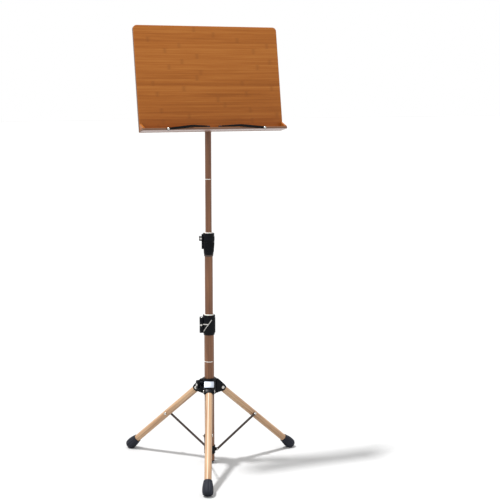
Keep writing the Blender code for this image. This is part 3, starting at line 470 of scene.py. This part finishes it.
def bamboo_edge(name):
    """The milled edges of board and ledge: the strips' sides, darker and greyer than their faces."""
    made, tree, shader = surface(name, {"IOR": 1.5, "Specular IOR Level": 0.25})
    grain = add_node(tree, "ShaderNodeAttribute", {"attribute_name": "grain_m"})
    stretched = add_node(tree, "ShaderNodeMapping", {"Scale": (9, 9, 900)},
                         {"Vector": grain.outputs["Vector"]})
    layers = add_node(tree, "ShaderNodeTexNoise", {"Scale": 1.0, "Detail": 3.0},
                      {"Vector": stretched.outputs["Vector"]})
    tint = add_node(tree, "ShaderNodeMix", {"data_type": "RGBA", 6: (*linear("#5A4031"), 1),
                                            7: (*linear("#7C5B46"), 1)}, {0: layers.outputs["Fac"]})
    tree.links.new(tint.outputs[2], shader.inputs["Base Color"])
    rough = add_node(tree, "ShaderNodeMapRange", {"To Min": 0.4, "To Max": 0.6},
                     {"Value": layers.outputs["Fac"]})
    tree.links.new(rough.outputs[0], shader.inputs["Roughness"])
    return made


def nickel_plate(name):
    """Nickel-plated steel: bright, with a faint fine mottle and a slight haze."""
    return grained(name, {"Metallic": 1.0}, linear("#CFCDC8"), linear("#B9B7B2"), 0.8, 0.05, (0.16, 0.3))


def satin_plate(name):
    """Satin-anodised aluminium sheet, blank: silver, brushed along one way."""
    made, tree, shader = surface(name, {"Metallic": 1.0})
    coords = add_node(tree, "ShaderNodeTexCoord")
    lines_map = add_node(tree, "ShaderNodeMapping", {"Scale": (60, 1600, 60)},
                         {"Vector": coords.outputs["Object"]})
    lines = add_node(tree, "ShaderNodeTexNoise", {"Scale": 1.0, "Detail": 3.0},
                     {"Vector": lines_map.outputs["Vector"]})
    tint = add_node(tree, "ShaderNodeMix", {"data_type": "RGBA", 6: (*linear("#8E949E"), 1),
                                            7: (*linear("#AEB4BD"), 1)}, {0: lines.outputs["Fac"]})
    tree.links.new(tint.outputs[2], shader.inputs["Base Color"])
    rough = add_node(tree, "ShaderNodeMapRange", {"To Min": 0.42, "To Max": 0.56},
                     {"Value": lines.outputs["Fac"]})
    tree.links.new(rough.outputs[0], shader.inputs["Roughness"])
    return made


def mark_ink(name):
    """White screen ink: flat, a little dusty."""
    return grained(name, {"IOR": 1.5}, linear("#F4F3EF"), linear("#E6E4DE"), 1.0, 0.05, (0.5, 0.65))


# Settings

def size(name, description, default, **more):
    return FloatProperty(name=name, description=description, default=default, unit="LENGTH", precision=4,
                         **more)


def shade(name, description, code):
    return FloatVectorProperty(name=name, description=description, default=linear(code), subtype="COLOR",
                               min=0.0, max=1.0)


class StandColumn(PropertyGroup):
    print_dark: shade("Dark grain", "Darkest tone of the tubes' printed grain", "#54331F")
    print_middle: shade("Grain", "Main tone of the tubes' printed grain", "#6E462B")
    print_light: shade("Light grain", "Lightest tone of the tubes' printed grain", "#82583A")
    mark_height: size("Mark height", "Height of the printed height marks", 1.6 * MM, min=0.0005, max=0.005)


class StandTripod(PropertyGroup):
    # These grain tones are lighter than the column's: partly painted light for the light from above on the
    # legs' upper sides.
    print_dark: shade("Dark grain", "Darkest tone of the legs' printed grain", "#8A6344")
    print_middle: shade("Grain", "Main tone of the legs' printed grain", "#AE8A66")
    print_light: shade("Light grain", "Lightest tone of the legs' printed grain", "#C2A27E")
    foot_ribs: IntProperty(name="Foot ribs", description="Ribs moulded round each rubber foot", default=14,
                           min=8, max=40)
    foot_rib_depth: size("Rib depth", "Depth of the grooves between a foot's ribs", 1.3 * MM, min=0.0,
                         max=0.002)


class StandDesk(PropertyGroup):
    bamboo_dark: shade("Dark bamboo", "Darkest fibre streaks", "#874B18")
    bamboo: shade("Bamboo", "Main tone of the strips", "#9C5B22")
    bamboo_light: shade("Light bamboo", "Lightest streaks", "#AA6B2F")
    knuckle: shade("Knuckle", "The dark bands where the cane had its joints", "#6E3E17")
    strip_height: size("Strip height", "Height of one glued bamboo strip", 15 * MM, min=0.004, max=0.04)
    knuckle_spacing: size("Knuckle spacing", "Distance between knuckles along a strip", 0.26, min=0.05,
                          max=0.6)
    edge_rounding: size("Edge rounding", "Radius of the board's rounded edges", 2.4 * MM, min=0.0005,
                        max=0.005)


class StandStage(PropertyGroup):
    floor: shade("Floor", "Colour of the pale floor", "#BDBDBD")
    sun: FloatProperty(name="Key light", description="Strength of the soft light from above and the left",
                       default=3.8, min=0.0)
    sun_spread: FloatProperty(name="Key spread", description="Width of the key light as an angle",
                              unit="ROTATION", default=math.radians(5), min=0.0, max=math.radians(60))
    sky: FloatProperty(name="Surroundings", description="Brightness of the white surroundings", default=1.0,
                       min=0.0)


# Operators

class StandOperator:
    bl_options = {"REGISTER", "UNDO"}


class STAND_OT_tubes(StandOperator, Operator):
    """Make the three telescopic tubes with eased ends, and their printed height marks"""
    bl_idname = "music_stand.tubes"
    bl_label = "Column Tubes"

    def execute(self, context):
        finish = kept("wood_print_column", column_print)
        for node, body in TUBE_NODES.items():
            low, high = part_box(node)
            outer = (high.x - low.x) / 2
            inner, ease = outer - TUBE_WALL, TUBE_EASE
            profile = [(outer - ease, high.z), (outer, high.z - ease), (outer, low.z + ease),
                       (outer - ease, low.z), (inner, low.z), (inner, high.z)]
            finished(turned(profile, closed=True), f"{node}_drawn", body, finish, replaces=[node])
        self.marks(context.scene.stand_column.mark_height)
        return {"FINISHED"}

    def marks(self, height):
        ink = kept("mark_ink", mark_ink)
        for name, node, body, middle in MARKS:
            low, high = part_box(node)
            radius = (high.x - low.x) / 2
            proud, low_z, high_z = MARK_PROUD, middle - height / 2, middle + height / 2
            profile = [(radius + proud, high_z), (radius + proud, low_z), (radius - proud, low_z),
                       (radius - proud, high_z)]
            shape = bmesh.new()
            verts = [shape.verts.new((r, 0, z)) for r, z in profile]
            face = shape.faces.new(verts)
            swept = math.radians(150)
            bmesh.ops.spin(shape, geom=[face], cent=(0, 0, 0), axis=(0, 0, 1), angle=swept, steps=32)
            bmesh.ops.recalc_face_normals(shape, faces=shape.faces)
            finished(shape, name, body, ink, where=Matrix.Rotation(math.radians(145), 4, "Z"))


class STAND_OT_clamps(StandOperator, Operator):
    """Make the two height clamps: ribbed sleeves, white bushes, flip levers and their bolts"""
    bl_idname = "music_stand.clamps"
    bl_label = "Height Clamps"

    def execute(self, context):
        plastic, nylon = kept("moulded_nylon", moulded_nylon), kept("natural_nylon", natural_nylon)
        bright = kept("nickel_plate", nickel_plate)
        for prefix, body in CLAMP_BODIES.items():
            sleeve = f"{prefix}_clamp_sleeve"
            finished(softened_copy(sleeve, 0.7 * MM), f"{sleeve}_moulded", body, plastic,
                     replaces=[sleeve])
            self.ribs(prefix, body, plastic)
            self.bush(prefix, body, nylon)
            lever = f"{prefix}_clamp_lever"
            finished(softened_copy(lever, 0.9 * MM, 3), f"{lever}_moulded", f"{prefix}_lever", plastic,
                     replaces=[lever])
            bolt = f"{prefix}_clamp_bolt"
            finished(softened_copy(bolt, 0.3 * MM), f"{bolt}_plated", body, bright,
                     replaces=[bolt])
        for node in ("middle_guide", "upper_guide"):
            paint(node, nylon)
        self.ring(kept("phosphated_steel", phosphated_steel))
        self.bail(bright)
        return {"FINISHED"}

    def ribs(self, prefix, body, finish):
        """Grip ribs round the sleeve, leaving the lugs' side bare."""
        sleeve_low, sleeve_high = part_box(f"{prefix}_clamp_sleeve")
        top_r, foot_r = SLEEVE_TOP_R[prefix], SLEEVE_FOOT_R[prefix]
        high_z, low_z = sleeve_high.z - 27 * MM, sleeve_low.z + 7 * MM
        shapes = []
        for i in range(RIB_COUNT):
            angle = 2 * math.pi * i / RIB_COUNT
            if abs(math.pi - angle) > BARE_HALF:
                continue
            rib = block((-0.5 * MM, -0.7 * MM, 0), (0.5 * MM, 0.7 * MM, high_z - low_z), 0.35 * MM)
            lean = math.atan2(top_r - foot_r, high_z - low_z)
            moved(rib, Matrix.Rotation(angle, 4, "Z") @ Matrix.Translation((foot_r + 0.1 * MM, 0, low_z))
                  @ Matrix.Rotation(lean, 4, "Y"))
            shapes.append(rib)
        finished(joined(*shapes), f"{prefix}_sleeve_ribs", body, finish, where=clamp_frame())
        lip = 0.6 * MM
        ring = [(top_r - lip, sleeve_high.z - 22.5 * MM), (top_r + lip, sleeve_high.z - 23.2 * MM),
                (top_r + lip, sleeve_high.z - 24.6 * MM), (top_r - lip, sleeve_high.z - 25.4 * MM)]
        finished(turned(ring, closed=True), f"{prefix}_sleeve_band", body, finish)

    def bush(self, prefix, body, finish):
        node = f"{prefix}_bush"
        low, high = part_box(node)
        outer = (high.x - low.x) / 2
        inner, shoulder = BUSH_BORE_R[prefix], BUSH_SHOULDER_Z[prefix]
        skirt = outer - TUBE_WALL - 0.3 * MM
        ease = 0.8 * MM
        profile = [(inner + ease, high.z), *arc((outer - ease, high.z - ease), ease, 90, 0, 4),
                   (outer, shoulder), (skirt, shoulder), (skirt, low.z), (inner, low.z),
                   (inner, high.z - ease)]
        finished(turned(profile, closed=True), f"{node}_moulded", body, finish, replaces=[node])

    def bail(self, finish):
        """The lower lever's bright wire and its catch, pressed round the lever's face."""
        (start, start_z), (end, end_z) = BAIL_ENDS
        path = []
        for i in range(BAIL_STEPS + 1):
            part = i / BAIL_STEPS
            angle = math.radians(start + (end - start) * part)
            path.append((BAIL_R * math.cos(angle), BAIL_R * math.sin(angle),
                         (start_z + (end_z - start_z) * part) * MM))
        catch = turned([(CATCH_IN_R, 416.4 * MM), (CATCH_OUT_R, 416.0 * MM), (CATCH_OUT_R, 413.2 * MM),
                        (CATCH_IN_R, 412.8 * MM)], closed=True)
        first, last = CATCH_SPAN
        away = [vert for vert in catch.verts
                if not first < math.degrees(math.atan2(vert.co.y, vert.co.x)) % 360 < last]
        bmesh.ops.delete(catch, geom=away, context="VERTS")
        bmesh.ops.holes_fill(catch, edges=[edge for edge in catch.edges if edge.is_boundary], sides=4)
        finished(joined(wire(path, BAIL_WIRE_R), catch), "lower_lever_bail", "lower_lever", finish)

    def ring(self, finish):
        low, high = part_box("upper_clamp_ring")
        outer, inner, ease = (high.x - low.x) / 2, BUSH_BORE_R["lower"], 0.7 * MM
        profile = [(outer - ease, high.z), (outer, high.z - ease), (outer, low.z + ease),
                   (outer - ease, low.z), (inner, low.z), (inner, high.z)]
        finished(turned(profile, closed=True), "upper_ring_turned", "middle", finish,
                 replaces=["upper_clamp_ring"])


def wire(path, radius, sides=10):
    """A round wire along a path, with flat ends."""
    shape = bmesh.new()
    points = [Vector(point) for point in path]
    rings = []
    for i, point in enumerate(points):
        ahead = points[min(i + 1, len(points) - 1)] - points[max(i - 1, 0)]
        across = ahead.cross(Vector((point.x, point.y, 0))).normalized()
        lift = across.cross(ahead).normalized()
        rings.append([shape.verts.new(point + radius * (math.cos(a) * across + math.sin(a) * lift))
                      for a in (2 * math.pi * k / sides for k in range(sides))])
    for first, second in zip(rings, rings[1:]):
        for k in range(sides):
            shape.faces.new((first[k], first[(k + 1) % sides], second[(k + 1) % sides], second[k]))
    shape.faces.new(rings[0])
    shape.faces.new(rings[-1])
    return shape


def dome(radius, height, shank_r=0.0, shank=0.0):
    """A button head about Z with its underside at 0, and a shank below it."""
    profile = [(0, height)] + [(radius * math.sin(a), height * (0.25 + 0.75 * math.cos(a)))
                               for a in (math.radians(d) for d in (20, 40, 60, 78))]
    profile += [(radius, 0.12 * height), (radius * 0.97, 0)]
    if shank_r:
        profile += [(shank_r, 0), (shank_r, -shank), (0, -shank)]
    else:
        profile += [(0, 0)]
    return turned(profile, 32)


class STAND_OT_hub(StandOperator, Operator):
    """Make the tripod's hub with its arms, rivets, blank plate and wing knob"""
    bl_idname = "music_stand.hub"
    bl_label = "Tripod Hub"

    def execute(self, context):
        plastic, bright = kept("moulded_nylon", moulded_nylon), kept("nickel_plate", nickel_plate)
        finished(softened_copy("hub", 1.0 * MM, 3), "hub_moulded", "hub", plastic,
                 replaces=["hub"])
        self.neck_ribs(plastic)
        for side in SIDES:
            self.pin(side, bright)
        self.plate()
        self.knob(plastic, bright)
        return {"FINISHED"}

    def neck_ribs(self, finish):
        low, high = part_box("hub")
        inner, outer = HUB_NECK_R - 0.6 * MM, HUB_NECK_R + 0.55 * MM
        ribs = []
        for i in range(3):
            z = high.z - (4.0 + 2.6 * i) * MM
            ribs.append(turned([(inner, z + 0.8 * MM), (outer, z + 0.35 * MM), (outer, z - 0.35 * MM),
                                (inner, z - 0.8 * MM)], closed=True))
        finished(joined(*ribs), "hub_neck_ribs", "hub", finish)

    def pin(self, side, finish):
        joint = JOINTS[f"leg_{side}_fold"]
        where = frame_at(joint["pos_m"], spoke(side), joint["axis"]) @ TO_Z_ALONG_Y
        lift = Matrix.Translation((0, 0, HUB_CHEEK))
        near, far = [moved(dome(RIVET_R, RIVET_RISE, RIVET_SHANK_R, HUB_CHEEK), place)
                     for place in (lift, Matrix.Rotation(math.pi, 4, "X") @ lift)]
        finished(joined(near, far), f"hub_pin_{side}_plated", "hub", finish, where=where,
                 replaces=[f"hub_pin_{side}"])

    def plate(self):
        finished(softened_copy("hub_plate", 0.3 * MM), "hub_plate_blank", "hub",
                 kept("satin_plate", satin_plate), replaces=["hub_plate"])

    def knob(self, plastic, bright):
        finished(softened_copy("hub_knob", 1.2 * MM, 3), "hub_knob_moulded", "hub_knob", plastic,
                 replaces=["hub_knob"])
        joint = JOINTS["hub_knob_turn"]
        out = Vector(joint["axis"])
        face = Vector(joint["pos_m"]) + out * 4 * MM
        where = Matrix.Translation(face) @ out.to_track_quat("Z", "Y").to_matrix().to_4x4()
        finished(dome(4.2 * MM, 1.4 * MM), "hub_knob_insert", "hub_knob", bright, where=where)


class STAND_OT_legs(StandOperator, Operator):
    """Make the legs' tubes with their hinge tongues and brace bolts"""
    bl_idname = "music_stand.legs"
    bl_label = "Legs"

    def execute(self, context):
        plastic, bright = kept("moulded_nylon", moulded_nylon), kept("nickel_plate", nickel_plate)
        finish = kept("wood_print_legs_painted_light", leg_print_painted_light)
        for side in SIDES:
            self.tube(side, finish)
            tongue = f"leg_{side}_tongue"
            finished(softened_copy(tongue, 0.6 * MM), f"{tongue}_moulded", f"leg_{side}", plastic,
                     replaces=[tongue])
            bolt_at = leg_frame(side).inverted() @ middle_of(f"brace_bolt_{side}")
            where = leg_frame(side) @ Matrix.Translation((bolt_at.x, 0, 0)) @ TO_Z_ALONG_Y
            bolt = moved(dome(4.2 * MM, 2.2 * MM, 2 * MM, 20.2 * MM), Matrix.Translation((0, 0, 10.2 * MM)))
            finished(bolt, f"brace_bolt_{side}_plated", f"leg_{side}", bright, where=where,
                     replaces=[f"brace_bolt_{side}"])
        return {"FINISHED"}

    def tube(self, side, finish):
        local = leg_frame(side)
        turned_back = local.inverted()
        along = [(turned_back @ vert.co).x for vert in frame["nodes"][f"leg_{side}"].data.vertices]
        start, end, outer, ease = min(along), max(along), LEG_R, TUBE_EASE
        inner = outer - TUBE_WALL
        profile = [(outer - ease, end), (outer, end - ease), (outer, start + ease), (outer - ease, start),
                   (inner, start), (inner, end)]
        finished(turned(profile, closed=True), f"leg_{side}_drawn", f"leg_{side}", finish,
                 where=local @ TO_Z_ALONG_X, replaces=[f"leg_{side}"])


class STAND_OT_feet(StandOperator, Operator):
    """Make the ribbed rubber feet, cut flat where they stand, and the plug in the column's end"""
    bl_idname = "music_stand.feet"
    bl_label = "Rubber Feet"

    def execute(self, context):
        rubber = kept("moulded_rubber", moulded_rubber)
        for side in SIDES:
            self.foot(side, rubber, context.scene.stand_tripod)
        paint("tube_end_plug", rubber)
        return {"FINISHED"}

    def foot(self, side, finish, look):
        local = leg_frame(side)
        turned_back = local.inverted()
        along = [(turned_back @ vert.co).x for vert in frame["nodes"][f"foot_{side}"].data.vertices]
        top, end = min(along), max(along)
        bore = FOOT_BORE_R
        length = end - top
        profile = [(0, end)] + [(radius * MM, end - depth * MM) for radius, depth in FOOT_OUTLINE]
        profile += [(12.3 * MM, top + 3.6 * MM), (12.1 * MM, top + 1 * MM), (11.4 * MM, top)]
        profile += [(bore, top), (bore, end - length / 2), (0, end - length / 2)]
        shape = turned(profile, 4 * look.foot_ribs)
        for vert in shape.verts:
            radius = math.hypot(vert.co.x, vert.co.y)
            if radius < 11.5 * MM or vert.co.z < top + 5 * MM or vert.co.z > end - 1 * MM:
                continue
            groove = 0.5 - 0.5 * math.cos(look.foot_ribs * math.atan2(vert.co.y, vert.co.x))
            keep = 1 - look.foot_rib_depth * groove / radius
            vert.co.x *= keep
            vert.co.y *= keep
        moved(shape, local @ TO_Z_ALONG_X)
        geometry = list(shape.verts) + list(shape.edges) + list(shape.faces)
        cut = bmesh.ops.bisect_plane(shape, geom=geometry, plane_co=(0, 0, 0), plane_no=(0, 0, -1),
                                     clear_outer=True)
        rim = [item for item in cut["geom_cut"] if isinstance(item, bmesh.types.BMEdge)]
        bmesh.ops.contextual_create(shape, geom=rim)
        finished(shape, f"foot_{side}_ribbed", f"leg_{side}", finish, replaces=[f"foot_{side}"])


class STAND_OT_braces(StandOperator, Operator):
    """Make the flat braces, their nuts, and the collar and pins that hold their lower ends"""
    bl_idname = "music_stand.braces"
    bl_label = "Braces and Collar"

    def execute(self, context):
        steel, bright = kept("phosphated_steel", phosphated_steel), kept("nickel_plate", nickel_plate)
        plastic = kept("moulded_nylon", moulded_nylon)
        finished(softened_copy("lower_collar", 0.6 * MM), "lower_collar_moulded", "root", plastic,
                 replaces=["lower_collar"])
        for side in SIDES:
            brace = f"brace_{side}"
            finished(softened_copy(brace, 0.5 * MM), f"{brace}_pressed", brace, steel,
                     replaces=[brace])
            nut = f"brace_nut_{side}"
            finished(softened_copy(nut, 0.25 * MM), f"{nut}_plated", brace, bright,
                     replaces=[nut])
            pin = f"collar_pin_{side}"
            finished(softened_copy(pin, 0.25 * MM), f"{pin}_plated", "root", bright,
                     replaces=[pin])
        return {"FINISHED"}


class STAND_OT_head(StandOperator, Operator):
    """Make the desk's socket, its bracket, tilt bolt and the two clamping knobs"""
    bl_idname = "music_stand.head"
    bl_label = "Desk Head"

    def execute(self, context):
        plastic, bright = kept("moulded_nylon", moulded_nylon), kept("nickel_plate", nickel_plate)
        steel = kept("coated_steel", coated_steel)
        for node, body, finish, slot, width in (
                ("desk_socket", "socket", plastic, "black_plastic", 0.8 * MM),
                ("socket_knob", "socket_knob", plastic, "black_plastic", 0.7 * MM),
                ("tilt_knob", "tilt_knob", plastic, "black_plastic", 1.2 * MM),
                ("tilt_bracket", "desk", steel, "black_metal", 0.5 * MM),
                ("tilt_bolt", "desk", bright, "bright_metal", 0.4 * MM)):
            finished(softened_copy(node, width), f"{node}_made", body, finish, replaces=[node])
        self.bracket_screws(bright)
        return {"FINISHED"}

    def bracket_screws(self, finish):
        for i, (x, z) in enumerate(BRACKET_SCREWS):
            where = desk_frame() @ Matrix.Translation((x * MM, BRACKET_FACE_Y, z * MM)) @ TO_Z_ALONG_Y
            finished(dome(3.6 * MM, 1.8 * MM), f"bracket_screw_{i + 1}", "desk", finish,
                     where=where)


class STAND_OT_board(StandOperator, Operator):
    """Make the bamboo board and its ledge, and finish the ledge's end cheeks"""
    bl_idname = "music_stand.board"
    bl_label = "Board and Ledge"

    def execute(self, context):
        look = context.scene.stand_desk
        bamboo = kept("laminated_bamboo", laminated_bamboo)
        local = desk_frame()
        back = local.inverted()
        panel = [back @ vert.co for vert in frame["nodes"]["desk_panel"].data.vertices]
        half = max(p.x for p in panel)
        low_z, high_z = min(p.z for p in panel), max(p.z for p in panel)
        front_y, back_y = min(p.y for p in panel), max(p.y for p in panel)
        corner = BOARD_CORNER
        outline = [(-half, low_z), (half, low_z)] + arc((half - corner, high_z - corner), corner, 0, 90, 10)
        outline += arc((corner - half, high_z - corner), corner, 90, 180, 10)
        board = slab(outline, back_y - front_y, look.edge_rounding, 4)
        stand_up = Matrix.Translation((0, (front_y + back_y) / 2, 0)) @ Matrix.Rotation(math.pi / 2, 4, "X")
        edge = kept("bamboo_edge", bamboo_edge)
        face_finishes(board, lambda normal: int(abs(normal.z) < 0.5))
        finished(board, "desk_board", "desk", bamboo, where=local @ stand_up,
                 replaces=["desk_panel"], more=[edge])
        self.ledge(local, back, bamboo, edge)
        for side in ("left", "right"):
            paint(f"ledge_cheek_{side}", bamboo)
        return {"FINISHED"}

    def ledge(self, local, back, bamboo, edge):
        points = [back @ vert.co for vert in frame["nodes"]["desk_ledge"].data.vertices]
        x0, y0, z0 = [min(p[i] for p in points) for i in range(3)]
        x1, y1, z1 = [max(p[i] for p in points) for i in range(3)]
        corner = LEDGE_CORNER
        outline = arc((x0 + corner, y0 + corner), corner, 180, 270, 6)
        outline += arc((x1 - corner, y0 + corner), corner, 270, 360, 6)
        shape = slab(outline + [(x1, y1), (x0, y1)], z1 - z0, 1.1 * MM, 3)
        # Face 2, the underside, gets the pale mauve painted reflection of the floor.
        face_finishes(shape, lambda normal: 0 if normal.z > 0.5 else 2 if normal.z < -0.6 else 1)
        finished(moved(shape, Matrix.Translation((0, 0, (z0 + z1) / 2))), "ledge_board", "desk", bamboo,
                 where=local, replaces=["desk_ledge"], more=[edge,
                                                                       kept("underside_painted_reflection",
                                                                            underside_painted_reflection)])


class STAND_OT_clips(StandOperator, Operator):
    """Make the page clips with their screws and rubber tips"""
    bl_idname = "music_stand.clips"
    bl_label = "Page Clips"

    def execute(self, context):
        steel, bright = kept("coated_steel", coated_steel), kept("nickel_plate", nickel_plate)
        rubber = kept("moulded_rubber", moulded_rubber)
        for side in ("left", "right"):
            for node, body, finish, slot, width in (
                    (f"clip_screw_{side}", "desk", bright, "bright_metal", 0.25 * MM),
                    (f"page_clip_{side}", f"clip_{side}", steel, "black_metal", 0.4 * MM),
                    (f"clip_tip_{side}", f"clip_{side}", rubber, "rubber", 0.4 * MM)):
                finished(softened_copy(node, width), f"{node}_made", body, finish, replaces=[node])
        return {"FINISHED"}


class STAND_OT_stage(StandOperator, Operator):
    """Set the pale floor, the soft lights and the camera"""
    bl_idname = "music_stand.stage"
    bl_label = "Stage"

    def execute(self, context):
        look = context.scene.stand_stage
        self.floor(look)
        self.lights(context, look)
        self.camera(context)
        context.scene.view_settings.view_transform = "Standard"
        return {"FINISHED"}

    def floor(self, look):
        made = surface("painted_floor", {"Roughness": 0.8, "Specular IOR Level": 0.1,
                                         "Base Color": (*look.floor, 1)})[0]
        shape = bmesh.new()
        bmesh.ops.create_grid(shape, x_segments=1, y_segments=1, size=30.0)
        mesh = bpy.data.meshes.new("floor")
        shape.to_mesh(mesh)
        shape.free()
        mesh.materials.append(made)
        floor = bpy.data.objects.new("floor", mesh)
        floor.location.z = -0.2 * MM
        bpy.context.scene.collection.objects.link(floor)

    def lights(self, context, look):
        world = bpy.data.worlds.new("white_surroundings")
        world.use_nodes = True
        sky = world.node_tree.nodes["Background"]
        sky.inputs["Color"].default_value = (1, 1, 1, 1)
        sky.inputs["Strength"].default_value = look.sky
        context.scene.world = world
        lamp = bpy.data.lights.new("key_light", "SUN")
        lamp.energy = look.sun
        lamp.angle = look.sun_spread
        light = bpy.data.objects.new("key_light", lamp)
        light.location = Vector(SUN_FROM) * 4
        light.rotation_euler = (-Vector(SUN_FROM)).to_track_quat("-Z", "Y").to_euler()
        context.scene.collection.objects.link(light)

    def camera(self, context):
        camera = bpy.data.cameras.new("camera")
        camera.lens = 81.3
        eye = bpy.data.objects.new("camera", camera)
        eye.location = (-1.0524, -2.9984, 1.0897)
        eye.rotation_euler = (math.radians(90 - 8.305), 0, math.radians(-21.46))
        context.scene.collection.objects.link(eye)
        context.scene.camera = eye


class STAND_PT_sidebar(Panel):
    bl_idname = "STAND_PT_sidebar"
    bl_label = "Music Stand"
    bl_space_type = "VIEW_3D"
    bl_region_type = "UI"
    bl_category = "Music Stand"

    def draw(self, context):
        for group in GROUPS.values():
            settings = getattr(context.scene, group)
            for name in settings.bl_rna.properties.keys():
                if name not in {"rna_type", "name"}:
                    self.layout.prop(settings, name)
        for operator in OPERATORS:
            self.layout.operator(operator.bl_idname)


GROUPS = {StandColumn: "stand_column", StandTripod: "stand_tripod", StandDesk: "stand_desk",
          StandStage: "stand_stage"}
OPERATORS = (STAND_OT_tubes, STAND_OT_clamps, STAND_OT_hub, STAND_OT_legs, STAND_OT_feet, STAND_OT_braces,
             STAND_OT_head, STAND_OT_board, STAND_OT_clips, STAND_OT_stage)
CLASSES = (*GROUPS, *OPERATORS, STAND_PT_sidebar)


def register():
    for made in CLASSES:
        bpy.utils.register_class(made)
    for group, name in GROUPS.items():
        setattr(bpy.types.Scene, name, PointerProperty(type=group))


def unregister():
    for name in GROUPS.values():
        delattr(bpy.types.Scene, name)
    for made in reversed(CLASSES):
        bpy.utils.unregister_class(made)


def main():
    register()
    for operator in OPERATORS:
        name = operator.bl_idname.split(".")[1]
        getattr(bpy.ops.music_stand, name)()


if __name__ == "__main__":
    main()
